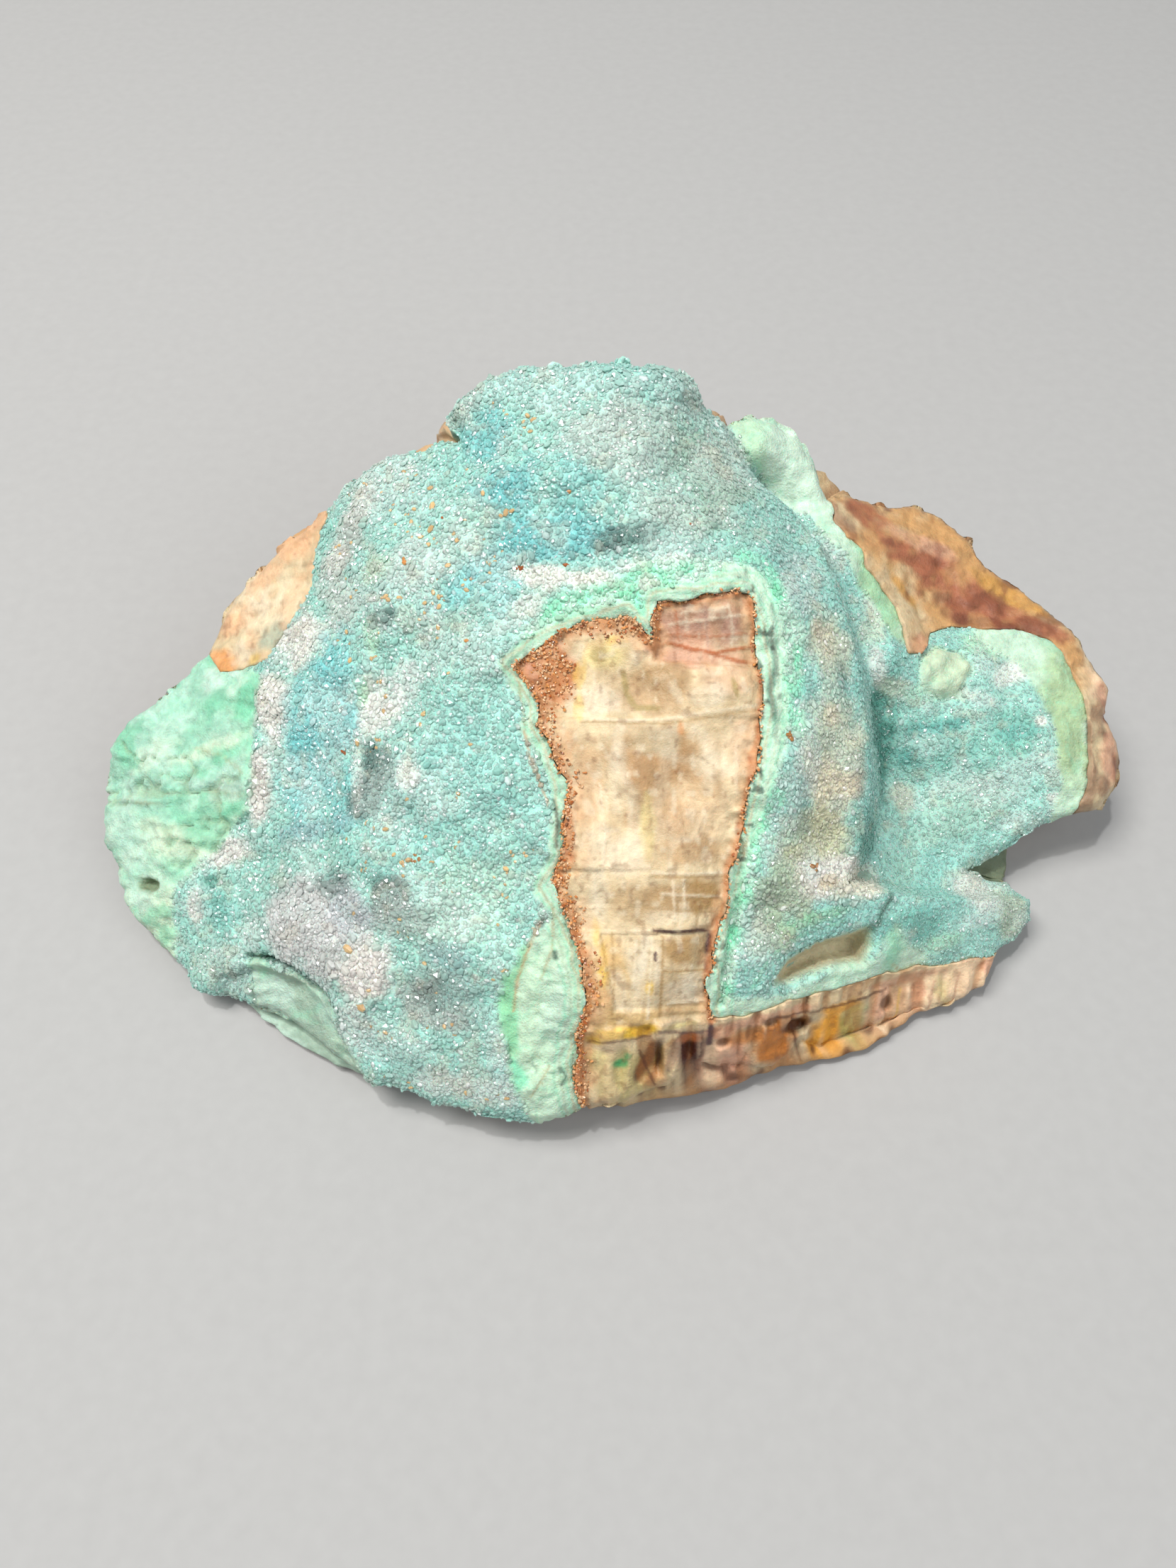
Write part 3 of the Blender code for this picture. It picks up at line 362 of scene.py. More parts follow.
# Patches of colour: middle u, v, half sizes, turn in degrees, colour and strength.
DRUSE_PATCHES = [
    (-7.3, -6.3, 3.39, 5.32, 0, "pale_green", 0.55), (-9.2, -0.5, 4.35, 4.35, 0, "aqua_deep", 0.55),
    (-11.2, -3.9, 2.92, 2.92, 0, "aqua_deep", 0.4), (-2.5, 25.7, 7.03, 1.61, 0, "crown", 0.8),
    (-7.8, 24.8, 0.82, 1.54, -20, "grey_aqua", 0.8), (6.0, 25.2, 2.52, 1.76, -35, "grey_aqua", 0.8),
    (-6.5, 22.2, 2.12, 2.53, 10, "deep_blue", 0.8), (-4.7, 18.4, 2.21, 2.95, 10, "deep_blue", 1.0),
    (-2.4, 15.2, 3.62, 1.84, -5, "deep_blue", 1.0), (-1.0, 18.3, 2.17, 2.9, 0, "deep_blue", 0.45),
    (-4.4, 13.7, 2.93, 1.46, 0, "deep_blue", 0.55), (-6.8, 11.7, 3.42, 1.71, 20, "valley_blue", 0.7),
    (2.4, 21.4, 4.13, 2.43, -10, "grey_aqua", 1.0), (7.5, 20.0, 3.0, 3.0, -40, "olive_aqua", 0.8),
    (6.3, 16.4, 3.38, 1.45, -10, "olive_aqua", 0.7), (3.2, 15.1, 2.28, 0.95, 8, "dark", 0.75),
    (2.4, 22.5, 1.47, 0.98, 0, "grey", 0.35), (1.0, 14.8, 0.96, 0.67, 20, "dark", 0.5),
    (-13.0, 19.2, 3.12, 3.12, 30, "crown", 0.8), (-16.1, 16.9, 1.37, 3.96, -20, "lilac", 1.0),
    (-16.6, 12.4, 1.14, 2.33, 10, "lilac", 0.7), (-11.4, 13.9, 2.73, 1.49, 0, "white_aqua", 0.6),
    (-13.5, 14.0, 1.11, 1.01, 0, "facet_green", 0.6), (-14.2, 13.4, 0.61, 0.61, 0, "scar", 0.6),
    (-13.8, 9.5, 0.6, 1.31, 0, "facet_green", 0.8), (-12.9, 10.7, 1.1, 0.7, 20, "dark", 0.7),
    (-14.1, 12.1, 1.31, 0.61, 0, "grey", 0.5), (-8.3, 10.3, 2.93, 0.98, 20, "olive_aqua", 0.6),
    (-6.9, 16.3, 2.47, 1.48, 30, "olive_aqua", 0.35), (-2.4, 12.8, 1.93, 0.87, -8, "white_fuzz", 1.0),
    (0.5, 12.3, 2.39, 0.86, -8, "white_fuzz", 1.0), (4.5, 13.3, 2.93, 0.61, 6, "white_fuzz", 0.9),
    (8.1, 13.3, 2.49, 0.57, 0, "white_fuzz", 0.7), (-3.8, 10.9, 1.16, 0.77, 20, "white_fuzz", 0.7),
    (-5.3, 9.7, 1.16, 0.58, 20, "white_aqua", 0.6), (-19.8, 9.3, 2.11, 1.8, 0, "cream_white", 0.95),
    (-21.0, 5.0, 1.47, 2.63, 0, "cream_white", 0.95), (-22.1, -0.3, 1.06, 2.75, 0, "pink_white", 0.95),
    (-24.6, -4.6, 2.14, 1.07, 8, "pink_white", 0.95), (-11.7, 6.5, 1.1, 1.6, 0, "white_aqua", 0.8),
    (-13.7, 5.0, 1.51, 2.22, -5, "cream_white", 0.9), (-14.5, 5.9, 0.46, 1.11, 0, "facet_green", 0.9),
    (-16.3, 7.4, 2.04, 1.53, -20, "valley_blue", 0.7), (-17.5, 3.8, 2.56, 4.61, -8, "valley_blue", 1.0),
    (-18.8, 0.0, 2.08, 3.64, 0, "valley_blue", 0.9), (-15.7, -1.0, 1.52, 3.03, 0, "valley_blue", 0.6),
    (-11.2, 0.7, 0.68, 0.88, 0, "cream_white", 0.8), (-13.4, 1.4, 1.19, 1.49, 10, "dark", 0.8),
    (-14.3, -1.1, 1.1, 1.2, 30, "dark", 0.8), (-14.8, 0.8, 0.4, 2.01, 0, "cream_white", 0.5),
    (-18.4, -3.1, 3.07, 1.13, 10, "grey_blue", 0.7), (-18.0, -9.1, 3.65, 3.14, 0, "pink_grey", 0.95),
    (-15.5, -8.0, 1.5, 1.5, 0, "lilac_grey", 0.8), (-16.4, -6.4, 1.11, 0.8, 0, "dark", 0.6),
    (-12.2, -6.8, 1.46, 1.17, 20, "dark", 0.85), (-11.4, -8.3, 1.46, 1.27, 0, "grey", 0.6),
    (-14.2, -12.4, 1.7, 2.1, -10, "pink_white", 1.0), (-14.9, -15.6, 1.51, 1.51, 0, "white_aqua", 0.7),
    (-16.0, -10.8, 1.1, 0.7, 0, "grey", 0.5), (-9.1, -13.4, 2.56, 2.36, 0, "grey", 0.9),
    (-9.7, -13.0, 1.18, 0.98, 0, "dark", 0.35), (-8.3, -10.7, 1.94, 0.87, 0, "grey_blue", 0.5),
    (-8.0, -19.3, 4.01, 1.3, -5, "white_aqua", 0.9), (-12.5, -17.1, 2.01, 1.51, 0, "aqua_deep", 0.5),
    (-5.4, -17.2, 0.98, 2.46, 0, "white_aqua", 0.6), (-25.0, -8.5, 0.8, 2.24, 0, "wing_teal", 1.0),
    (-25.9, -6.6, 1.08, 0.48, 0, "teal_and_shade", 0.8), (-27.0, -8.6, 0.75, 2.16, 0, "pink_white", 0.8),
    (-25.9, -12.1, 1.83, 1.4, 0, "wing_light", 1.0), (-22.7, -10.0, 1.16, 1.58, 0, "white_aqua", 0.7),
    (13.7, 13.3, 1.71, 2.31, -10, "white_aqua", 0.8), (16.8, 16.2, 1.41, 1.84, -20, "grey_aqua", 0.8),
    (15.5, 8.5, 1.6, 2.81, 0, "dome_grey", 0.9), (15.5, 2.0, 2.17, 4.43, 5, "dome_grey", 0.9),
    (14.4, -4.0, 2.48, 2.18, 0, "dome_green", 0.9), (17.4, 0.5, 0.7, 1.5, 0, "tan_white", 0.6),
    (16.2, 6.9, 0.6, 1.51, 10, "dark", 0.5), (13.4, -2.0, 0.49, 1.96, 0, "dark", 0.3),
    # The two teal patches right of the dome, at the end of this line and the start of the next, are the
    # crust's own teal and painted shade of the valley between the dome and the right wing.
    (13.5, 2.4, 0.87, 2.9, 5, "white_aqua", 0.5), (18.2, -3.1, 1.33, 2.05, 20, "teal_and_shade", 0.6),
    (20.6, 3.8, 1.1, 4.95, 5, "teal_and_shade", 1.0), (21.0, 6.5, 0.76, 2.17, 0, "wing_teal", 0.6),
    (24.8, 2.8, 3.86, 2.54, 0, "wing_teal", 0.7), (30.2, 3.4, 2.8, 1.9, 10, "wing_aqua", 0.9),
    (26.5, -1.7, 3.91, 2.01, 15, "wing_light", 1.0), (25.1, 4.1, 3.64, 0.5, 12, "wing_deep", 0.85),
    (30.2, 3.6, 2.24, 0.5, 12, "wing_deep", 0.5), (22.8, 1.9, 1.44, 1.0, 0, "wing_deep", 0.8),
    (22.4, -0.6, 1.23, 1.01, 0, "tan_white", 0.6), (27.4, 0.0, 2.8, 0.56, 14, "white_aqua", 0.3),
    (24.3, -3.3, 2.77, 1.11, 20, "wing_light", 0.8), (29.0, 10.1, 2.5, 1.02, 0, "wing_green", 1.0),
    (30.7, 8.0, 2.49, 0.79, 24, "cream_white", 0.8), (27.8, 6.1, 1.89, 0.78, -10, "white_aqua", 0.6),
    (32.5, 4.6, 0.56, 0.45, 0, "cream_white", 0.9), (33.5, -1.0, 0.67, 0.34, 0, "cream_white", 0.8),
    (31.0, -2.5, 1.69, 0.68, 18, "white_aqua", 0.6), (20.1, 12.0, 1.2, 3.6, -18, "ridge", 0.9),
    (19.7, 8.2, 0.7, 1.5, 5, "pink_white", 0.95), (21.6, 6.6, 1.63, 0.76, -10, "ridge", 0.8),
    (18.5, 15.7, 0.54, 1.63, 30, "wing_green", 0.8), (23.5, 6.3, 1.64, 0.77, 0, "wing_green", 0.6),
    (21.9, -9.6, 2.61, 1.35, 0, "wing_teal", 0.8), (27.4, -7.6, 2.01, 1.12, -20, "pink_white", 0.7),
    (29.7, -9.1, 1.32, 1.65, 0, "spur", 1.0), (26.7, -9.4, 1.83, 0.75, 10, "white_aqua", 0.6),
    (21.8, -6.0, 2.18, 1.31, 0, "wing_light", 0.7), (24.3, -10.7, 2.13, 0.75, 10, "wing_green", 0.7),
    (15.4, -5.9, 3.28, 1.29, 5, "cream_white", 1.0), (17.4, -6.5, 2.34, 1.02, 5, "lump_white", 0.9),
    (15.1, -6.2, 0.69, 0.4, 0, "tan", 0.5), (12.7, -6.8, 1.47, 0.98, 0, "lump_white", 0.6),
    (11.5, -7.8, 2.25, 2.94, 10, "facet", 0.95), (10.5, -10.0, 1.18, 1.96, 10, "white_aqua", 0.4),
    (14.9, -8.4, 2.78, 0.45, 14, "facet_green", 0.9),
]
CHALK_PATCHES = [
    (-30.0, 3.3, 7.22, 9.44, 0, "mint", 1.0), (-23.4, 5.8, 1.08, 2.8, -18, "mint_green", 1.0),
    (-24.1, 2.3, 2.15, 0.54, 24, "mint_green", 0.8), (-22.7, 0.8, 0.74, 1.59, 0, "bright_green", 0.6),
    (-24.6, -1.9, 1.82, 0.43, 24, "bright_green", 0.7), (-26.6, 2.3, 2.94, 0.55, 18, "mint_yellow", 0.85),
    (-30.7, 2.1, 1.89, 0.89, 30, "mint_yellow", 0.7), (-27.0, 0.0, 3.24, 0.38, -4, "mint_grey", 0.8),
    (-31.8, -1.3, 1.89, 0.22, -4, "olive_mint", 0.9), (-24.9, -0.6, 1.5, 0.21, -6, "olive_mint", 0.8),
    (-28.5, -4.1, 2.93, 1.3, -5, "mint_yellow", 0.9), (-30.7, -3.0, 1.43, 0.77, 0, "mint_yellow", 0.6),
    (-30.2, 5.6, 2.8, 1.68, 20, "mint", 0.8), (-25.8, 7.3, 1.66, 1.0, 0, "mint_pale", 0.8),
    (-32.0, 3.9, 1.12, 2.81, 10, "mint_grey", 0.4), (-32.8, -2.2, 0.67, 3.34, 0, "mint_grey", 0.5),
    (-29.3, -10.1, 2.52, 2.52, 0, "mint_yellow", 0.9), (-31.4, -8.3, 0.88, 1.65, 20, "mint_grey", 0.5),
    (-27.0, -5.9, 2.7, 0.65, -10, "mint_green", 0.5), (-21.2, 9.6, 1.07, 0.86, 0, "mint_pale", 0.7),
    (-19.6, -15.9, 4.77, 3.18, -35, "mint_broken", 1.0), (-18.5, -18.3, 3.18, 0.74, -35, "mint", 0.7),
    (-21.6, -14.0, 1.6, 1.07, -30, "mint_pale", 0.8), (-17.0, -15.5, 0.83, 2.07, 30, "mint_grey", 0.6),
    (-16.3, -17.5, 1.56, 0.31, -30, "crust_dark_and_shade", 0.5), (-20.3, -17.1, 1.6, 0.27, -35, "crust_dark_and_shade", 0.35),
    (-2.4, -14.6, 2.91, 7.28, 0, "plate", 1.0), (-5.0, -14.4, 0.59, 3.03, 6, "plate_green", 0.95),
    (-4.2, -10.6, 0.48, 1.92, -25, "plate_green", 0.8), (-4.7, -18.6, 0.69, 1.28, 0, "bright_green", 0.85),
    (-2.9, -9.1, 0.67, 1.44, 0, "lip", 0.7), (-1.8, -14.5, 0.97, 2.91, 0, "mint_pale", 0.5),
    (13.8, 22.0, 3.3, 3.3, 0, "knob", 1.0), (35.7, 5.7, 3.4, 8.51, 0, "margin", 1.0),
    (34.3, 10.8, 1.73, 1.15, 0, "wing_green", 0.7), (37.1, 3.7, 1.14, 1.71, 0, "mint_pale", 0.7),
    (15.9, -13.5, 6.68, 1.54, 8, "lip", 1.0), (19.8, -10.8, 1.03, 1.55, 0, "mint_green", 0.7),
    (19.2, -11.4, 0.41, 1.34, -10, "mint_pale", 0.7), (25.4, 8.3, 2.22, 2.44, 0, "scar", 1.0),
    (21.0, 13.8, 2.77, 6.09, -28, "back_lining", 1.0), (11.3, 23.7, 1.62, 2.15, 0, "back_lining", 0.5),
]
WINDOW_PATCHES = [
    (3.8, -1.4, 6.67, 15.73, 0, "honey", 1.0), (4.2, 1.5, 3.43, 2.09, 0, "honey_clear", 1.0),
    (3.9, 2.6, 1.62, 0.86, 0, "grey_honey", 0.8), (4.0, 5.5, 2.19, 1.43, 0, "honey_clear", 0.7),
    (0.0, 5.0, 1.73, 1.15, 10, "cream", 0.95), (1.0, 8.0, 1.34, 1.05, 0, "pale_yellow", 0.85),
    (0.7, 7.9, 0.62, 0.53, 0, "olive", 0.7), (1.7, 8.8, 0.67, 0.38, 0, "yellow", 0.5),
    (-1.4, 6.3, 0.77, 1.92, -10, "cream", 0.8), (-2.4, 7.6, 1.63, 2.11, 30, "rust_pink", 0.9),
    (-1.8, 5.8, 0.77, 2.41, -15, "rim", 0.7), (-0.6, 4.6, 0.38, 1.15, 0, "yellow", 0.5),
    (-0.5, 6.7, 0.43, 1.06, -10, "yellow", 0.45), (6.9, 9.9, 3.5, 1.8, 4, "red_brown", 1.0),
    (6.1, 10.2, 1.89, 0.95, 0, "purple_brown", 0.7), (9.1, 9.5, 1.14, 1.24, 0, "purple_brown", 0.6),
    (6.5, 7.7, 3.14, 0.62, -8, "back_rose", 1.0), (9.3, 7.6, 1.05, 0.67, 0, "red_brown", 0.7),
    (8.5, 6.3, 1.61, 1.14, 0, "honey_pink", 0.9), (8.9, 5.7, 0.19, 0.66, 15, "olive", 0.8),
    (7.3, 5.3, 1.23, 0.66, 10, "veil", 0.6), (4.8, 6.4, 1.24, 0.86, 0, "honey_tan", 0.8),
    (5.6, 3.4, 0.24, 0.43, 0, "orange", 1.0), (7.4, 1.2, 1.14, 0.86, 0, "veil", 0.6),
    (9.4, 2.4, 0.67, 1.91, -8, "honey_pink", 0.7), (-0.1, 0.0, 1.25, 3.18, 0, "pink_tan", 0.9),
    (-1.2, 2.4, 0.58, 1.92, -10, "pink_tan", 0.8), (1.9, 1.2, 0.57, 1.43, 0, "veil", 0.5),
    (4.1, -1.9, 2.38, 0.95, 0, "honey_clear", 0.7), (6.4, -1.4, 1.72, 2.1, 0, "pink_tan", 0.5),
    (3.6, -3.0, 0.43, 1.91, 0, "pale_yellow", 0.7), (2.3, -4.5, 1.33, 1.24, 0, "cream", 0.8),
    (0.5, -3.8, 1.14, 1.42, 0, "cream", 0.5), (6.2, -4.2, 1.9, 0.86, 0, "honey_clear", 0.7),
    (6.5, -6.7, 1.91, 1.34, 0, "tan_dark", 0.95), (4.7, -6.1, 1.05, 0.67, 0, "grey_honey", 0.7),
    (5.5, -6.7, 0.57, 0.76, 0, "veil", 0.5), (2.4, -7.2, 1.62, 1.43, 0, "honey_tan", 0.6),
    (4.8, -7.1, 1.9, 1.24, 0, "honey_tan", 0.8), (0.7, -7.2, 0.67, 1.91, 0, "veil", 0.4),
    (0.5, -9.1, 0.38, 1.15, 0, "yellow", 0.45), (4.8, -8.1, 1.43, 0.57, 0, "veil", 0.4),
    (5.7, -10.1, 1.62, 0.95, 0, "tan_dark", 0.9), (7.0, -10.3, 0.67, 1.06, 0, "grey_honey", 0.5),
    (3.4, -10.6, 0.48, 1.62, -8, "veil", 0.85), (4.3, -11.2, 0.48, 1.43, -4, "cream", 0.7),
    (6.3, -12.7, 1.74, 0.97, 5, "cream", 1.0), (6.4, -12.7, 1.06, 0.39, 5, "veil", 0.6),
    (5.9, -14.2, 1.95, 0.59, 0, "tan_dark", 0.6), (1.2, -11.5, 1.24, 2.86, 0, "low_cream", 0.8),
    (0.9, -10.9, 0.29, 1.24, 0, "yellow", 0.5), (1.9, -12.8, 0.48, 1.43, 0, "veil", 0.5),
    (3.8, -12.5, 0.29, 0.57, 0, "yellow", 0.7), (2.4, -14.5, 2.41, 0.58, 4, "low_cream", 0.8),
    (2.3, -15.4, 2.53, 0.39, 6, "yellow", 1.0), (5.9, -15.1, 1.47, 0.29, 8, "pale_yellow", 0.8),
    (0.5, -15.9, 0.68, 0.39, 0, "yellow", 0.7),
]
FRONT_PATCHES = [
    (2.5, -18.5, 3.28, 2.09, 5, "cream_yellow", 1.0), (2.0, -17.6, 0.74, 0.4, 20, "malachite", 1.0),
    (2.5, -17.1, 0.3, 0.25, 0, "malachite", 0.8), (-0.6, -18.7, 0.69, 1.69, 0, "rust_pink", 0.9),
    # The dark rock patches on this line and the next, and the one at (13.9, -15.9), sit in pits of the front
    # rim: painted shade.
    (0.7, -17.0, 0.99, 0.39, 0, "pale_yellow", 0.7), (3.8, -17.3, 0.45, 1.68, -25, "rock_dark_and_shade", 0.9),
    (4.8, -17.5, 0.4, 1.49, -20, "tan_dark", 0.9), (5.4, -17.2, 0.3, 1.5, -15, "rock_dark_and_shade", 0.8),
    (4.5, -19.0, 0.7, 0.7, 0, "rock_tan", 0.7), (6.8, -17.2, 1.31, 1.51, 0, "knot", 1.0),
    (6.5, -16.1, 0.7, 0.4, 0, "rust", 0.8), (9.2, -17.9, 1.74, 2.05, 0, "rock_pink", 1.0),
    (7.9, -17.8, 0.41, 1.83, 0, "rock_cream", 0.8), (10.6, -16.2, 2.02, 0.71, 10, "rock_amber", 0.8),
    (11.3, -15.1, 3.52, 0.4, 8, "back_rose", 0.95), (8.5, -15.8, 1.0, 0.45, 0, "rust_pink", 0.8),
    (12.3, -17.0, 1.75, 1.75, 0, "rock_amber", 1.0), (13.9, -15.9, 1.24, 0.52, 10, "rock_dark_and_shade", 0.9),
    (16.0, -16.9, 1.38, 1.8, 0, "rock_orange", 1.0), (14.9, -17.7, 0.74, 0.63, 0, "rock_orange", 0.8),
    (18.0, -16.0, 0.96, 1.81, 0, "yellow_green", 0.85), (18.9, -15.8, 0.27, 1.07, 0, "malachite", 0.6),
    (17.0, -14.9, 1.57, 0.37, 10, "rock_orange", 0.8), (21.6, -15.4, 2.91, 2.37, 5, "rock_cream", 1.0),
    (20.0, -14.9, 0.64, 1.28, 0, "rock_pink", 0.7), (22.8, -14.9, 0.49, 1.41, 0, "rock_pink", 0.8),
    (24.9, -13.9, 0.87, 1.42, 0, "yellow_green", 0.7), (26.5, -13.4, 1.86, 1.86, 0, "rock_cream", 1.0),
    (28.0, -12.6, 0.77, 0.77, 0, "rock_pink", 0.8), (21.3, -13.3, 3.19, 0.32, 8, "red_brown", 0.7),
    (26.0, -12.0, 2.17, 0.27, 6, "red_brown", 0.6),
]
BACK_PATCHES = [
    (-22.6, 12.7, 3.3, 3.3, 30, "back_cream", 1.0), (-26.1, 8.7, 1.45, 0.89, 0, "orange", 0.9),
    (-24.3, 9.3, 1.21, 0.88, 0, "cream", 0.9), (-23.1, 8.7, 0.65, 0.44, 0, "yellow", 0.5),
    (-26.0, 11.3, 1.13, 0.79, 30, "back_orange", 0.8), (-22.5, 15.0, 1.66, 1.0, 35, "back_orange", 0.7),
    (-23.3, 12.7, 1.22, 0.89, 30, "cream", 0.8), (-20.3, 16.8, 1.98, 1.32, 35, "back_orange", 0.95),
    (-25.3, 11.8, 1.35, 1.13, 30, "back_orange", 0.5), (-21.3, 10.1, 1.83, 0.97, 10, "back_green", 1.0),
    (-18.7, 18.5, 0.98, 0.76, 30, "back_orange", 0.8), (27.8, 15.1, 9.86, 5.22, -30, "back_pale", 1.0),
    (24.9, 15.6, 4.24, 1.72, -25, "back_brown", 1.0), (28.3, 13.0, 3.81, 1.5, -20, "back_brown", 1.0),
    (20.4, 19.3, 1.93, 1.02, -20, "back_brown", 0.9), (24.2, 17.8, 2.88, 0.69, -20, "back_rose", 0.8),
    (27.1, 19.3, 2.71, 0.71, -18, "back_pale", 1.0), (32.3, 13.8, 4.11, 0.7, -28, "back_ochre", 1.0),
    (28.4, 17.3, 1.41, 0.82, -30, "back_pale", 0.9), (22.4, 13.9, 2.47, 0.5, -52, "back_ochre", 0.9),
    (25.0, 12.6, 1.37, 0.74, -20, "back_pale", 1.0), (23.8, 9.6, 1.33, 1.11, 0, "red_brown", 1.0),
    (29.1, 11.8, 3.45, 0.52, -10, "back_dark", 0.8), (33.5, 11.6, 2.31, 0.69, -25, "back_brown", 0.9),
    (37.4, 7.4, 1.04, 2.54, 15, "rock_cream", 0.95), (37.9, 5.7, 0.57, 2.3, 10, "back_rose", 0.9),
    (38.2, 1.8, 1.03, 1.95, 0, "back_rose", 0.95), (38.7, 0.9, 0.57, 1.26, 0, "back_brown", 0.6),
    (35.8, 9.3, 0.81, 0.92, 20, "back_pale", 0.9), (9.7, 24.4, 0.86, 0.54, 0, "back_orange", 1.0),
]
# Lines drawn on the rock and on the crust: path, half width, colour and strength.
STROKES = [
    ([(-0.24, 4.08), (2.39, 3.87), (4.75, 3.94), (7.11, 4.31), (10.25, 4.77)], 0.12, "veil", 0.45),
    ([(-0.24, 3.79), (4.75, 3.66), (7.35, 4.03), (10.1, 4.48)], 0.08, "tan_dark", 0.45),
    ([(3.9, -5.37), (6.19, -5.47), (8.47, -5.39)], 0.1, "veil", 0.5),
    ([(3.9, -5.61), (8.47, -5.68)], 0.08, "tan_dark", 0.5),
    ([(4.0, -8.91), (5.23, -9.03), (6.7, -8.95), (7.98, -9.19)], 0.12, "seam", 0.95),
    ([
        (4.39, 10.58), (4.17, 9.48), (4.37, 8.46), (4.76, 8.66), (6.19, 8.28), (7.62, 8.0), (10.18, 8.45)
    ], 0.12, "rust", 0.9),
    ([(4.72, 10.85), (7.08, 11.13), (9.86, 11.63), (10.15, 10.05), (10.28, 8.45)], 0.14, "rust", 0.75),
    ([(7.38, 8.0), (9.07, 7.54), (10.46, 7.39)], 0.11, "rust", 0.8),
    ([(4.97, 9.71), (7.1, 9.94), (9.53, 10.34)], 0.08, "veil", 0.5),
    ([(4.85, 9.12), (7.37, 8.94), (9.81, 9.28)], 0.08, "rust", 0.5),
    ([(5.67, 10.39), (8.52, 10.74)], 0.07, "veil", 0.4),
    ([(8.52, 10.89), (8.85, 9.52), (8.79, 8.5)], 0.07, "veil", 0.4),
    ([(5.29, 10.57), (5.52, 8.8)], 0.06, "rust", 0.5),
    ([(7.08, 10.94), (7.33, 8.19)], 0.06, "purple_brown", 0.5),
    ([(2.15, 6.79), (2.35, 5.51), (2.96, 4.68), (4.19, 4.57)], 0.19, "olive", 0.85),
    ([(5.23, 2.95), (4.77, 1.19), (4.39, -0.48), (4.19, -1.67)], 0.43, "veil", 0.22),
    ([(6.8, 3.33), (7.38, 1.9), (7.28, 0.0)], 0.43, "veil", 0.3),
    ([(2.38, 0.0), (2.96, -2.39), (2.67, -4.29)], 0.38, "veil", 0.3),
    ([(1.91, 3.34), (1.53, 0.96), (1.81, -1.43)], 0.38, "veil", 0.35),
    ([(5.13, -5.94), (5.32, -8.32)], 0.06, "veil", 0.5),
    ([(5.8, -5.8), (5.9, -8.19)], 0.06, "veil", 0.5),
    ([(6.58, -5.82), (6.65, -8.61)], 0.06, "tan_dark", 0.6),
    ([(4.52, -6.66), (8.2, -6.9)], 0.06, "veil", 0.5),
    ([(4.52, -7.61), (7.97, -7.87)], 0.06, "tan_dark", 0.6),
    ([(3.91, -9.29), (3.81, -11.44), (3.68, -14.51)], 0.09, "veil", 0.6),
    ([(4.57, -9.33), (4.54, -11.95), (4.47, -14.37)], 0.08, "tan_dark", 0.7),
    ([(4.53, -11.44), (8.0, -11.53)], 0.08, "tan_dark", 0.7),
    ([(4.94, -13.67), (7.58, -13.59)], 0.08, "veil", 0.6),
    ([(2.96, -9.55), (2.77, -12.43)], 0.07, "veil", 0.5),
    ([(1.44, -9.09), (1.62, -11.93), (1.44, -14.19)], 0.07, "tan_dark", 0.5),
    ([(0.72, 0.0), (1.05, -2.85), (0.85, -5.69)], 0.07, "veil", 0.5),
    ([(0.38, -5.68), (0.67, -8.63)], 0.07, "veil", 0.4),
    ([(7.52, -9.39), (7.38, -11.33), (7.63, -13.7), (7.78, -16.57)], 0.22, "seam", 0.95),
    ([(4.4, -15.39), (6.43, -15.74), (7.7, -15.6)], 0.12, "seam", 0.6),
    # Painted shade: a dark line below the window's lowest edge, where the rock turns down into the front rim.
    ([(0.0, -16.16), (1.95, -15.95), (3.91, -15.73)], 0.1, "rock_dark_and_shade", 0.6),
    ([(4.09, -10.28), (4.1, -10.76)], 0.1, "seam", 0.9),
    ([(12.14, -15.07), (15.0, -15.0), (17.83, -14.58), (20.12, -13.87)], 0.11, "knot", 0.7),
    ([(3.19, -16.69), (4.27, -19.36)], 0.1, "knot", 0.6),
    ([(13.31, -15.25), (13.93, -17.54)], 0.12, "knot", 0.7),
    ([(19.99, -13.86), (19.91, -16.14)], 0.11, "red_brown", 0.7),
    ([(21.39, -14.01), (21.3, -16.22)], 0.11, "yellow", 0.4),
    ([(22.3, -13.76), (22.21, -16.03)], 0.11, "red_brown", 0.6),
    ([(23.83, -13.54), (23.61, -15.77)], 0.11, "red_brown", 0.6),
    ([(25.71, -13.07), (25.51, -15.05)], 0.11, "red_brown", 0.6),
]
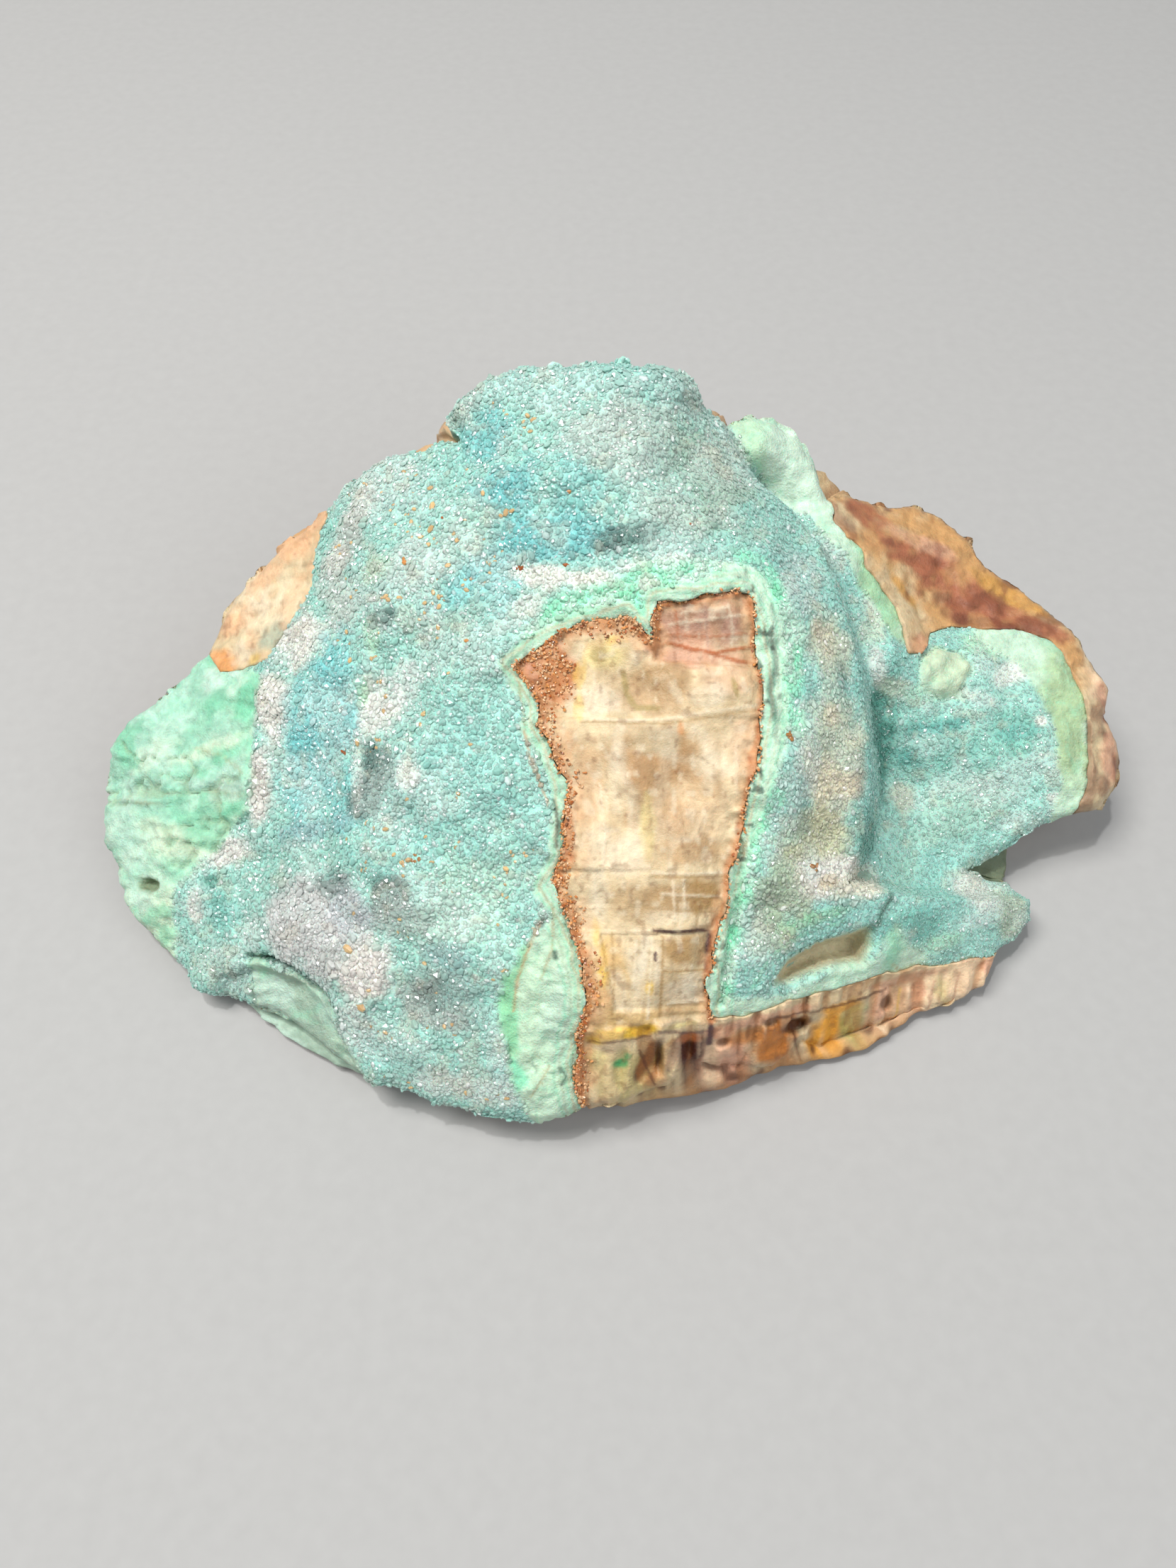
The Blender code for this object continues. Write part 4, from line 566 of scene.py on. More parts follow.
CRUST_STROKES = [
    # Painted shade: a dark line in the narrow channel that runs up from the hollow's upper right.
    ([(19.7, -7.3), (19.15, -8.25), (18.56, -9.48)], 0.2, "crust_dark_and_shade", 0.9),
    ([(11.35, 8.79), (11.58, 7.24), (11.13, 5.75), (11.41, 4.08)], 0.24, "black", 0.55),
    ([(10.82, 9.62), (11.09, 8.39)], 0.12, "black", 0.4),
    ([(-2.11, -0.96), (-1.81, -2.38), (-1.9, -3.81)], 0.14, "black", 0.75),
    ([(-2.73, -8.24), (-2.88, -8.63)], 0.19, "black", 0.7),
    ([(-2.06, -10.29), (-1.96, -10.63)], 0.19, "black", 0.8),
    ([(-1.78, -17.88), (-1.39, -18.41), (-1.68, -19.02)], 0.12, "black", 0.6),
    ([(-2.88, -8.39), (-3.75, -10.33), (-4.34, -12.05), (-4.63, -14.13)], 0.11, "rim", 0.55),
    ([(-2.11, -7.66), (-2.2, -10.06), (-2.88, -12.02)], 0.08, "tan", 0.5),
    ([(-3.67, -19.84), (-2.96, -18.76), (-2.47, -17.76)], 0.08, "tan", 0.5),
    ([(-2.47, -18.16), (-1.38, -18.1)], 0.07, "crust_dark_and_shade", 0.5),
    ([(-3.93, 3.36), (-3.55, 1.68), (-2.88, 0.0), (-2.39, -1.43)], 0.1, "rim", 0.6),
    ([(-4.33, 7.21), (-4.14, 5.3), (-3.84, 3.6)], 0.09, "tan", 0.5),
    ([(13.32, -15.37), (14.95, -14.7), (17.76, -14.21), (20.05, -13.51)], 0.09, "rim", 0.5),
    ([(20.36, -12.01), (21.93, -13.37), (24.36, -12.99)], 0.1, "tan", 0.6),
    ([
        (10.35, -12.91), (11.07, -11.41), (12.37, -10.14), (13.94, -9.36), (16.25, -8.8)
    ], 0.1, "mint_green", 0.6),
    # Painted shade: a dark line along the crack, in the gap where the druse steps down to the broken edge.
    ([
        (-22.05, -11.65), (-20.65, -11.73), (-19.1, -12.22), (-17.86, -13.01), (-16.78, -14.23),
        (-15.93, -15.73)
    ], 0.18, "crust_dark_and_shade", 0.9),
    ([(-33.79, -1.24), (-31.17, -1.49), (-29.21, -1.2)], 0.11, "crust_dark_and_shade", 0.35),
    ([(-26.3, 0.11), (-23.97, -0.21), (-22.91, -0.53)], 0.11, "crust_dark_and_shade", 0.35),
    ([(-27.4, 2.47), (-25.07, 1.89), (-23.4, 0.8)], 0.14, "tan", 0.3),
    ([(-32.13, -4.16), (-29.75, -3.71), (-27.59, -4.06)], 0.11, "crust_dark_and_shade", 0.3),
]

# Noises: size, seed, weight and, where they have one, stretch of each. Stains: their noises, where
# the sum begins to show and shows in full, strength and colour.
DRUSE_CLOUDS = [
    ([(4.2, 160, 1.0), (1.4, 161, 0.6)], 0.1, 0.8, 0.45, "white_aqua"),
    ([(4.2, 160, -1.0), (1.4, 161, -0.6)], 0.3, 0.9, 0.35, "aqua_deep"),
]
FUZZ_WAVES = [(1.2, 52, 1.0), (0.5, 53, 0.5)]
FUZZ_STAINS = [(FUZZ_WAVES, -0.2, 0.5, 1.0, "bright_green")]
FUZZ_COVER = 0.95
DRUSE_FLECKS = [([(0.7, 62, 1.0), (3.0, 63, 0.4)], 0.5, 0.75, 0.3, "tan_white")]
WING_STAINS = [
    ([(2.4, 162, 1.0, (0.8, 1.3, 1.0)), (0.8, 163, 0.6)], 0.1, 0.7, 0.6, "wing_vein"),
    ([(2.4, 162, -1.0, (0.8, 1.3, 1.0)), (0.8, 163, -0.6)], 0.2, 0.8, 0.4, "mint_pale"),
]
SLIT_WAVES = [(1.9, 164, 1.0, (0.4, 1.2, 1.0)), (0.8, 165, 0.25)]
CHALK_BLOTCHES = [(0.8, 57, 0.10), (0.35, 61, 0.05)]
LINING_WAVES = [(1.1, 64, 0.16), (0.4, 149, 0.06)]
BLACK_SPECKS = [([(0.42, 58, 1.0), (2.2, 59, 0.25)], 0.46, 0.6, 0.75, "black")]
BROKEN_LAYERS = [
    ([(1.0, 144, 1.0, (0.3, 0.3, 2.2)), (0.6, 145, 0.5)], 0.0, 0.6, 0.7, "mint_pale"),
    ([(1.0, 144, -1.0, (0.3, 0.3, 2.2)), (0.6, 145, -0.5)], 0.2, 0.8, 0.5, "crust_dark_and_shade"),
]
VEIL_CLOUDS = [([(2.6, 101, 1.0)], -0.1, 0.4, 0.28, "veil")]
WINDOW_STAINS = [
    ([(1.1, 102, 1.0, (1.4, 0.5, 1.0))], 0.1, 0.6, 0.3, "honey_tan"),
    ([(0.45, 103, 1.0, (1.2, 0.8, 1.0))], 0.35, 0.7, 0.35, "veil"),
]
MOSAIC_CONTRAST = 0.08
RIGHT_BACK_STAINS = [([(1.7, 141, 1.0), (0.6, 171, 0.6)], 0.1, 0.7, 0.6, "back_dark")]
LEFT_BACK_STAINS = [([(1.7, 141, 1.0), (0.6, 171, 0.6)], 0.2, 0.8, 0.5, "back_orange")]
BACK_STAINS = [([(1.7, 141, -1.0), (0.6, 171, -0.6)], 0.2, 0.8, 0.4, "back_pale")]
PALE_EDGE = [([(0.6, 139, 1.0)], -0.3, 0.4, 0.55, "rim_pale")]
RUSTY_GRAINS = [
    ([(0.35, 106, 1.0)], 0.2, 0.6, 0.5, "rust"), ([(0.3, 138, 1.0)], 0.2, 0.6, 0.7, "rim_pale"),
]
LIMONITE_SPECKS = [([(0.38, 108, 1.0)], 0.55, 0.75, 0.35, "limonite_dark")]
SIDE_STAINS = [
    ([(7.0, 130, 1.0), (2.4, 131, 0.6)], -0.2, 0.5, 0.85, "limonite"),
    ([(4.0, 132, 1.0), (1.1, 133, 0.7)], 0.25, 0.8, 0.75, "limonite_dark"),
    ([(5.5, 134, 1.0), (1.5, 135, 0.4)], 0.3, 0.7, 0.7, "back_cream"),
    ([(3.2, 136, 1.0), (0.9, 137, 0.5)], 0.45, 0.8, 0.6, "back_brown"),
]

# Fine relief of the crust.
DRUSE_LUMPS = [(1.9, 70, 0.24), (0.85, 71, 0.13)]
CHALK_LUMPS = [(0.8, 73, 0.12), (0.4, 74, 0.09)]
WING_LUMPS = [(0.5, 79, 0.14), (3.2, 166, 0.34)]
WING_FOLDS = [(1.5, 75, 1.0, (0.8, 1.0, 1.0)), (0.7, 78, 0.5)]
WALL_LUMPS = [(1.1, 110, 0.16, (1.0, 1.0, 2.2)), (0.45, 111, 0.08)]
WALL_BANDS = [(1.0, 112, 1.0, (0.35, 0.35, 2.4))]
WALL_UNDERCUT = 0.1
WALL_CHALK = 0.8
CLUMP_RISE = 0.55
SLIT_DEPTH = 0.45
SCAR_RISE = 0.3
SCAR_RIM_DEPTH = 0.35
TERRACE_RISE = 0.05
LIP_DROP = 0.25
LIP_WIDTH = 0.5
CRUST_EDGE_RADIUS = 0.8

# Fine relief of the rock.
FIBRES = [(1.5, 85, 1.0), (0.6, 86, 0.45)]
FIBRE_STRETCH = (2.1, 0.42, 1.0)
FIBRE_RISE = 0.36
COLUMN_LUMPS = [(0.6, 107, 0.10)]
BACK_LUMPS = [(0.7, 170, 0.14)]
BARE_LUMPS = [(0.9, 89, 0.08)]
FINE_CLEAVAGE = [(0.8, 81, 0.03, (1.6, 0.5, 1.0))]
EDGE_GRAINS = [(0.55, 83, 0.14), (0.28, 84, 0.08)]
RAISED_LINES = ("veil", "rust")
RAISED_HEIGHT = 0.10
SEAM_DEPTH = 0.25
ROCK_EDGE_RADIUS = 0.9
SIDE_LUMPS = [(1.2, 121, 0.16), (0.6, 122, 0.08)]
SIDE_FIBRES = [(1.3, 123, 0.5, (1.6, 1.6, 0.4))]
# The side fibres negated, marking the gaps between them that get painted shade on the front skirt.
SIDE_GAPS = [(1.3, 123, -1.0, (1.6, 1.6, 0.4)), (0.8, 150, -0.5)]
# Middle of the notch at the right, under which the skirt gets painted shadow.
NOTCH = (28.0, -6.0)
FRONT_BELOW = -12.0
CALM_REACH = 30

# The uneven warp of the outlines: size, reach, seed and how much more it reaches behind.
OUTLINE_WARPS = [(1.4, 0.16, 20, 1.2), (0.7, 0.08, 22, 2.2), (0.35, 0.035, 24, 0.5)]
NEAR_WINDOW = 1.5

# The sides of the rock, and its seat.
SKIRT_RISE = 0.06
SEAT_GAP = 0.03
RIM_RINGS = 4
FRONT_RINGS = 14

# The thinnest half width of a drawn line, and the layers of the window's lining.
THINNEST_LINE = 0.09
PATCH_FADE = (0.6, 1.3)
RING_FADE = 0.3
LINING_FADE = 0.2
LINING_LINES = [
    (0.25, "mint_green", 0.5), (0.48, "tan", 0.5), (0.72, "mint_green", 0.6), (1.02, "olive_mint", 0.4),
    (1.35, "mint_green", 0.6),
]
LINING_TURNS = 20.0

# Crystals: name, spacing, smallest and largest half width, longest length for its width, roughness;
# how far they lean, and what share of its length each is sunk.
CRYSTALS = [
    ("druse_large", 0.95, 0.22, 0.36, 0.95, 0.06), ("druse_middle", 0.46, 0.16, 0.25, 0.9, 0.18),
    ("druse_fine", 0.29, 0.11, 0.18, 0.66, 0.34),
]
TILT = 0.25
SINK = 0.22
# Clumps of larger crystals: middle, half sizes and turn.
CLUMPS = [
    (3.5, 25.6, 3.4, 1.3, -5), (-21.2, 6.2, 1.8, 3.2, 0), (-13.6, 5.8, 1.6, 2.3, 10),
    (-19.7, -8.2, 4.2, 3.2, 20), (-14.9, -12.2, 2.3, 3.2, 0), (21.2, 8.4, 1.3, 1.9, 20),
    (17.6, -6.8, 2.7, 1.4, 5), (-16.3, 15.6, 2.0, 3.8, -20), (-22.0, -0.6, 1.2, 4.4, 0),
]
# Rusty crystals among the blue ones: place, reach and colour.
SPECKS = [
    (-9.4, 16.8, 0.2, "rust"), (-11.8, 14.2, 0.2, "orange"), (-4.3, 13.4, 0.2, "rust"),
    (-1.4, 13.4, 0.18, "rust"), (-1.0, 18.0, 0.2, "orange"), (6.2, 16.0, 0.18, "rust"),
    (-7.6, 9.0, 0.2, "orange"), (12.4, 3.0, 0.3, "limonite"), (-10.6, -4.6, 0.35, "limonite"),
    (-15.8, 2.0, 0.2, "rust"), (14.2, -5.2, 0.3, "limonite"),
]

# Crystals with a tan stain: the share where they are few, and how much more in groups.
STAINED_GROUPS = [(1.3, 172, 1.0), (5.0, 173, 0.5)]
STAINED_FEW = 0.003
STAINED_MORE = 0.08

# Rusty grains round the window: step along its edge, how many abreast, half width and colours.
GRAIN_STEP = 0.16
GRAINS_ABREAST = 5
CORNER_GRAINS = 700
GRAIN_SIZE = (0.05, 0.15)
GRAIN_COLOURS = {"rim": 0.30, "rust": 0.12, "rim_pale": 0.42, "orange": 0.12, "limonite_dark": 0.04}

# Lights: place and size in metres, power in watts, colour.
LIGHTS = [
    ("key", (-0.18, 0.02, 0.42), 0.2, 2.0, (1.0, 0.98, 0.95)),
    ("sparkle", (-0.08, 0.02, 0.45), 0.02, 0.75, (1.0, 1.0, 1.0)),
    ("fill", (0.28, -0.24, 0.42), 0.5, 1.58, (0.96, 0.98, 1.0)),
]
SKY_STRENGTH = 0.325
SKY_COLOUR = (0.93, 0.96, 1.0)
LIGHT_TARGET = (0.0, 0.0, 0.01)
FLOOR_HALF = 1.5
FLOOR_GRAIN = 900.0
FLOOR_COLOURS = [(0.315, 0.312, 0.305), (0.345, 0.342, 0.335)]


def lattice(x, y, z, seed):
    """A repeatable number from -1 to 1 at each whole-numbered point."""
    mixed = (x * 374761393 + y * 668265263 + z * 1103515245 + seed * 144665) & 0xFFFFFFFF
    mixed = ((mixed ^ (mixed >> 13)) * 1274126177) & 0xFFFFFFFF
    return ((mixed ^ (mixed >> 16)) & 0xFFFF) / 32767.5 - 1.0


def noise(points, size, seed):
    """Smooth random height from -1 to 1, whose lumps are about this size."""
    scaled = points / size
    corner = np.floor(scaled).astype(np.int64)
    part = scaled - corner
    part = part * part * (3.0 - 2.0 * part)
    total = np.zeros(len(points))
    for step in itertools.product((0, 1), repeat=3):
        weight = np.prod(np.where(np.array(step), part, 1.0 - part), axis=1)
        total += weight * lattice(*(corner + step).T, seed)
    return total


def sheet_through(points, stiffness=0.02):
    """A bent plate through the points (u, v, w), as a function of u and v."""
    points = np.array(points)
    places = points[:, :2]

    def bend(where):
        gap = np.linalg.norm(where[:, None] - places[None], axis=2)
        return gap * gap * np.log(gap + 1e-9)

    def plane(where):
        return np.column_stack([np.ones(len(where)), where])

    count = len(points)
    system = np.zeros((count + 3, count + 3))
    system[:count, :count] = bend(places) + stiffness * np.eye(count) * count
    system[:count, count:] = plane(places)
    system[count:, :count] = plane(places).T
    weights = np.linalg.solve(system, np.append(points[:, 2], np.zeros(3)))
    return lambda where: bend(where) @ weights[:count] + plane(where) @ weights[count:]


def distance_to(path, where, ring=True):
    """Distance of each point to the nearest side of a path."""
    path = np.array(path)
    ends = np.roll(path, -1, axis=0) if ring else path[1:]
    starts = path if ring else path[:-1]
    nearest = np.full(len(where), np.inf)
    for start, end in zip(starts, ends):
        along = end - start
        share = np.clip((where - start) @ along / max(along @ along, 1e-12), 0.0, 1.0)
        nearest = np.minimum(nearest, np.linalg.norm(where - start - share[:, None] * along, axis=1))
    return nearest


def inside(ring, where):
    """Whether each point lies inside the ring."""
    ring = np.array(ring)
    found = np.zeros(len(where), bool)
    for start, end in zip(ring, np.roll(ring, -1, axis=0)):
        if start[1] == end[1]:
            continue
        spans = (start[1] > where[:, 1]) != (end[1] > where[:, 1])
        across = start[0] + (where[:, 1] - start[1]) * (end[0] - start[0]) / (end[1] - start[1])
        found ^= spans & (where[:, 0] < across)
    return found


def pressed(ring, where, depth, side):
    """How far a pit of this outline goes down, with sides that slope over the given width."""
    share = np.where(inside(ring, where), distance_to(ring, where) / side, 0.0)
    share = np.clip(share, 0.0, 1.0)
    return depth * share * share * (3.0 - 2.0 * share)


HIGH_SHEET = sheet_through(HIGH_RELIEF)
LOW_SHEET = sheet_through(LOW_RELIEF)


def face_height(where):
    """Height w of the visible front surface over each point (u, v)."""
    u, v = where[:, 0], where[:, 1]
    brow_v, brow_u = np.array(BROW).T
    high = HIGH_SHEET(where) - BROW_FALL * np.maximum(0.0, u - np.interp(v, brow_v, brow_u))
    low = LOW_SHEET(where) - LOW_FALL * np.maximum(0.0, LOW_FROM - u)
    height = (high + low + np.sqrt((high - low) ** 2 + SHEET_BLEND**2)) / 2.0
    height -= pressed(HOLLOW, where, HOLLOW_DEPTH, HOLLOW_SIDE)
    height -= pressed(LEDGE, where, LEDGE_DEPTH, LEDGE_SIDE)
    solid = np.column_stack([where, np.zeros(len(where))])
    for index, (size, rise) in enumerate(LUMPS):
        height += rise * noise(solid, size, SEED + index)
    return height


def crust_thickness(where, height):
    """Thickest on the left wing, and thinner where the rim comes close to the surface below."""
    on_wing = np.clip((WING_FROM - where[:, 0]) / (WING_FROM - WING_FULL), 0.0, 1.0)
    wanted = CRUST_THICKNESS + (WING_THICKNESS - CRUST_THICKNESS) * on_wing
    room = (to_world(where, height)[:, 2] - UNDERSIDE_MIN) / math.cos(FACE_TILT) - CLEARANCE
    return np.minimum(wanted, np.maximum(room, THINNEST))


def to_world(where, height):
    """Points of the leaning face, in millimetres on the resting piece."""
    u, v = where[:, 0], where[:, 1]
    y = v * math.cos(FACE_TILT) - height * math.sin(FACE_TILT)
    z = FACE_HEIGHT + v * math.sin(FACE_TILT) + height * math.cos(FACE_TILT)
    return np.column_stack([u, y, z])


def moved_aside(path, width):
    """The inner points of the path, moved to its left by this width."""
    path = np.array(path)
    along = np.diff(path, axis=0)
    left = np.column_stack([-along[:, 1], along[:, 0]]) / np.linalg.norm(along, axis=1)[:, None]
    both = left[:-1] + left[1:]
    both /= np.linalg.norm(both, axis=1)[:, None]
    reach = np.minimum(1.5, 1.0 / np.maximum(0.2, (both * left[1:]).sum(axis=1)))
    return path[1:-1] + both * (width * reach)[:, None]


def linear(code):
    """A six-digit colour as linear red, green and blue."""
    values = np.array([int(code[start : start + 2], 16) for start in (0, 2, 4)]) / 255.0
    return np.where(values <= 0.04045, values / 12.92, ((values + 0.055) / 1.055) ** 2.4)


COLOURS = {name: linear(code) for name, code in PALETTE.items()}
COLOURS["white"] = np.ones(3)


def flat(where):
    """Face points as points in space, for the noise."""
    return np.column_stack([where, np.zeros(len(where))])


def smooth_step(value, low, high):
    """0 below the low value, 1 above the high one, and smooth between."""
    share = np.clip((value - low) / (high - low), 0.0, 1.0)
    return share * share * (3.0 - 2.0 * share)


def thin_lines(value, half, fade):
    """1 along the lines where the value crosses zero, and 0 away from them."""
    return 1.0 - smooth_step(np.abs(value), half, fade)


def layered(points, layers):
    """The sum of several noises: size, seed, weight and, where it has one, stretch of each."""
    total = 0.0
    for size, seed, weight, *stretch in layers:
        total = total + weight * noise(points * (stretch[0] if stretch else 1.0), size, SEED + seed)
    return total


def ragged(where, seed):
    """A small uneven shift that roughens the border of a patch."""
    return 0.6 * noise(flat(where), 1.7, seed) + 0.4 * noise(flat(where), 0.6, seed + 1)


def patch_reach(where, u, v, half_u, half_v, turn=0.0):
    """Distance from the middle of an oval patch, 1 on its border."""
    turn = math.radians(turn)
    du, dv = where[:, 0] - u, where[:, 1] - v
    along = (du * math.cos(turn) + dv * math.sin(turn)) / half_u
    across = (dv * math.cos(turn) - du * math.sin(turn)) / half_v
    return np.hypot(along, across)


def painted(where, colour, patches, seed):
    """The colour with each patch laid over it, soft and ragged at the border."""
    shift = 0.5 * ragged(where, seed) + 0.2 * noise(flat(where), 3.4, seed + 2)
    colour = colour.copy()
    for u, v, half_u, half_v, turn, name, strength in patches:
        reach = patch_reach(where, u, v, half_u, half_v, turn) + shift
        share = strength * (1.0 - smooth_step(reach, *PATCH_FADE))
        colour += share[:, None] * (COLOURS[name] - colour)
    return colour


def stained(points, colour, stains, mask=1.0):
    """The colour with noisy stains laid over it, each where its noise is high."""
    for layers, start, full, strength, name in stains:
        share = strength * smooth_step(layered(points, layers), start, full) * mask
        colour = mixed(colour, share, name)
    return colour


def stroked(where, colour, strokes):
    """The colour with thin uneven lines drawn over it."""
    shift = 0.3 * noise(flat(where), 0.5, SEED + 40)
    for path, half, name, strength in strokes:
        reach = distance_to(path, where, ring=False) / max(half, THINNEST_LINE) + shift
        colour = mixed(colour, strength * (1.0 - smooth_step(reach, 0.4, 1.4)), name)
    return colour


def stroke_share(where, strokes):
    """How much of each point the lines cover."""
    white = [(path, half, "white", strength) for path, half, _, strength in strokes]
    return stroked(where, np.zeros((len(where), 3)), white)[:, 0]


def within(ring, where, soft):
    """1 inside a ring and 0 outside, with a soft ragged border."""
    distance = distance_to(ring, where)
    signed = np.where(inside(ring, where), distance, -distance)
    return smooth_step(signed + 0.45 * ragged(where, SEED + 41), -soft, soft)


def mixed(colour, share, name):
    """The colour with this share of a named one."""
    return colour + share[:, None] * (COLOURS[name] - colour)


WINDOW_EDGE = WINDOW_RIGHT + WINDOW_TOP[1:] + WINDOW_LEFT[1:]
WINDOW_RING = WINDOW_RIGHT + WINDOW_TOP[1:] + WINDOW_LEFT[1:LEFT_ABOVE_RIM]


def window_distance(where):
    """Distance of each point to the edge of the window."""
    return distance_to(WINDOW_EDGE, where, ring=False)


def lining_width(where):
    """How wide the layered lining of the window is: widest right of its upper half."""
    upper_right = smooth_step(where[:, 0], 6.0, 8.5) * smooth_step(where[:, 1], -6.0, 3.0)
    return LINING + LINING_MORE * upper_right


def scar_reach(where):
    """Distance from the middle of the broken round spot on the right wing, about 1 on its border."""
    return patch_reach(where, *SCAR) + 0.3 * ragged(where, SEED + 146)


def chalk_share(where):
    """How chalky the crust is at each point, from 0 under crystals to 1 on bare mint crust."""
    share = np.zeros(len(where))
    for ring in CHALK_RINGS.values():
        share = np.maximum(share, within(ring, where, RING_FADE))
    share = np.maximum(share, 1.0 - smooth_step(scar_reach(where), 0.85, 1.15))
    uneven = 0.3 * ragged(where, SEED + 43)
    beyond = window_distance(where) + uneven - lining_width(where)
    share = np.maximum(share, 1.0 - smooth_step(beyond, -LINING_FADE, LINING_FADE))
    share = np.maximum(share, smooth_step(pressed(HOLLOW, where, 1.0, HOLLOW_SIDE), 0.02, 0.25))
    beyond = distance_to(RIGHT_BACK_CRUST[:6], where, ring=False) + uneven - BACK_LINING
    return np.maximum(share, 1.0 - smooth_step(beyond, -LINING_FADE, LINING_FADE))


def fuzz_share(where):
    """Where the fine green fuzz grows round the window."""
    return within(GREEN_RING, where, 0.5)


def druse_colour(where):
    """Colours of the crust under its crystals: clouded, green and fuzzy round the window, flecked."""
    points = flat(where)
    colour = painted(where, np.tile(COLOURS["aqua"], (len(where), 1)), DRUSE_PATCHES, SEED + 50)
    colour = stained(points, colour, DRUSE_CLOUDS)
    fuzzy = stained(points, np.tile(COLOURS["pale_green"], (len(where), 1)), FUZZ_STAINS)
    colour += FUZZ_COVER * fuzz_share(where)[:, None] * (fuzzy - colour)
    return stained(points, colour, DRUSE_FLECKS)


def chalk_colour(where, rim, uneven):
    """Colours of the bare crust: veined, mottled on the wing, layered and specked round the window."""
    points = flat(where)
    colour = painted(where, np.tile(COLOURS["lip"], (len(where), 1)), CHALK_PATCHES, SEED + 54)
    colour = mixed(colour, 0.35 * thin_lines(noise(points, 1.3, SEED + 56), 0.02, 0.12), "mint_green")
    colour = stained(points, colour, WING_STAINS, 1.0 - smooth_step(where[:, 0], -23.5, -20.0))
    colour = mixed(colour, 0.6 * slits(where), "olive_mint")
    colour = colour * (1.0 + layered(points, CHALK_BLOTCHES))[:, None]
    for place, name, strength in LINING_LINES:
        colour = mixed(colour, strength * thin_lines(uneven - place, 0.03, 0.12), name)
    right_rim = smooth_step(where[:, 0], 7.0, 9.0) * (1.0 - smooth_step(rim, 0.7, 1.8))
    colour = stained(points, colour, BLACK_SPECKS, right_rim)
    cracks = thin_lines(noise(points, 2.0, SEED + 60), 0.01, 0.035)
    return mixed(colour, 0.4 * cracks * within(CHALK_RINGS["plate"], where, RING_FADE), "crust_dark_and_shade")


def crust_colour(where, chalk):
    """Colours of the whole crust: the lines drawn on it, some of them painted shade, its hollow, painted
    shade in its pit and painted light on the lining right of the window.
    """
    points = flat(where)
    rim, lining = window_distance(where), lining_width(where)
    uneven = rim + layered(points, LINING_WAVES)
    # Painted light: the lining right of the window, whose side faces away from the key, is made paler by a
    # larger gain.
    lining_painted_light = (1.0 - smooth_step(rim, lining, lining + 0.5)) * smooth_step(where[:, 0], 5.0, 8.0)
    gain = CHALK_GAIN + (LINING_PAINTED_LIGHT_GAIN - CHALK_GAIN) * lining_painted_light
    druse = druse_colour(where) * DRUSE_GAIN
    colour = druse + chalk[:, None] * (chalk_colour(where, rim, uneven) * gain[:, None] - druse)
    green_above = thin_lines(uneven - lining - 0.4, 0.2, 0.9)
    green_above *= smooth_step(where[:, 0] + 0.6 * where[:, 1], 1.0, 8.0)
    green_above *= smooth_step(layered(points, FUZZ_WAVES), -0.5, 0.2)
    colour = mixed(colour, 0.6 * green_above, "bright_green")
    drawn = stroked(where, np.zeros_like(colour), CRUST_STROKES)
    share = stroke_share(where, CRUST_STROKES)[:, None]
    colour = colour * (1.0 - share) + drawn * CHALK_GAIN
    # The pit in the left wing is painted dark brown-green: partly its own colour, partly painted shade of the
    # hole.
    pit = 1.0 - smooth_step(patch_reach(where, *WING_PIT), 0.7, 1.15)
    colour += pit[:, None] * (COLOURS["pit"] * CHALK_GAIN - colour)
    hollow = smooth_step(pressed(HOLLOW, where, 1.0, HOLLOW_SIDE), 0.15, 0.6)
    return mixed(colour, hollow, "hollow")


def clump_share(where):
    """Where the crystals are largest: on white lumps and clumps along the crown."""
    share = np.zeros(len(where))
    for u, v, half_u, half_v, turn in CLUMPS:
        share = np.maximum(share, 1.0 - smooth_step(patch_reach(where, u, v, half_u, half_v, turn), 0.6, 1.1))
    return share


def slits(where):
    """Narrow level cracks across the left wing."""
    u, v = where[:, 0], where[:, 1]
    level = layered(np.column_stack([u + 0.3 * v, v - 0.12 * u, 0.0 * u]), SLIT_WAVES)
    on_wing = 1.0 - smooth_step(u, -24.5, -22.5)
    middle = 1.0 - smooth_step(np.abs(v + 1.0), 4.0, 6.5)
    return on_wing * middle * thin_lines(level, 0.02, 0.10)


def crust_relief(where, chalk, fuzz):
    """Fine lumps of the crust on top of its main form."""
    points = flat(where)
    u, v, _ = points.T
    druse = layered(points, DRUSE_LUMPS)
    lumps = np.clip(0.35 + 0.65 * noise(points, 1.5, SEED + 168), 0.0, 1.0)
    druse += CLUMP_RISE * clump_share(where) * lumps
    chalky = 0.20 * (np.abs(noise(points, 1.9, SEED + 72)) - 0.4) + layered(points, CHALK_LUMPS)
    on_wing = 1.0 - smooth_step(u, -24.0, -20.0)
    folds = layered(np.column_stack([u + 0.5 * v, 1.5 * v - 0.3 * u, 0.0 * u]), WING_FOLDS)
    chalky += on_wing * (0.22 * (1.0 - np.abs(folds) * 1.6) + layered(points, WING_LUMPS))
    chalky -= SLIT_DEPTH * slits(where)
    scar = scar_reach(where)
    chalky += SCAR_RISE * (1.0 - smooth_step(scar, 0.8, 1.1)) * (1.0 + noise(points, 0.9, SEED + 167))
    relief = druse + chalk * (chalky - druse) + 0.10 * fuzz * noise(points, 0.45, SEED + 76)
    groove = distance_to(GROOVE, where, ring=False)
    relief -= GROOVE_DEPTH * (1.0 - smooth_step(groove, 0.1, GROOVE_WIDTH))
    crack = distance_to(CRACK, where, ring=False) + 0.08 * noise(points, 0.7, SEED + 77)
    relief -= CRACK_DEPTH * (1.0 - smooth_step(crack, 0.05, CRACK_WIDTH))
    relief -= WING_PIT_DEPTH * (1.0 - smooth_step(patch_reach(where, *WING_PIT), 0.3, 1.1))
    return relief - SCAR_RIM_DEPTH * (smooth_step(scar, 0.75, 0.95) - smooth_step(scar, 1.0, 1.15))


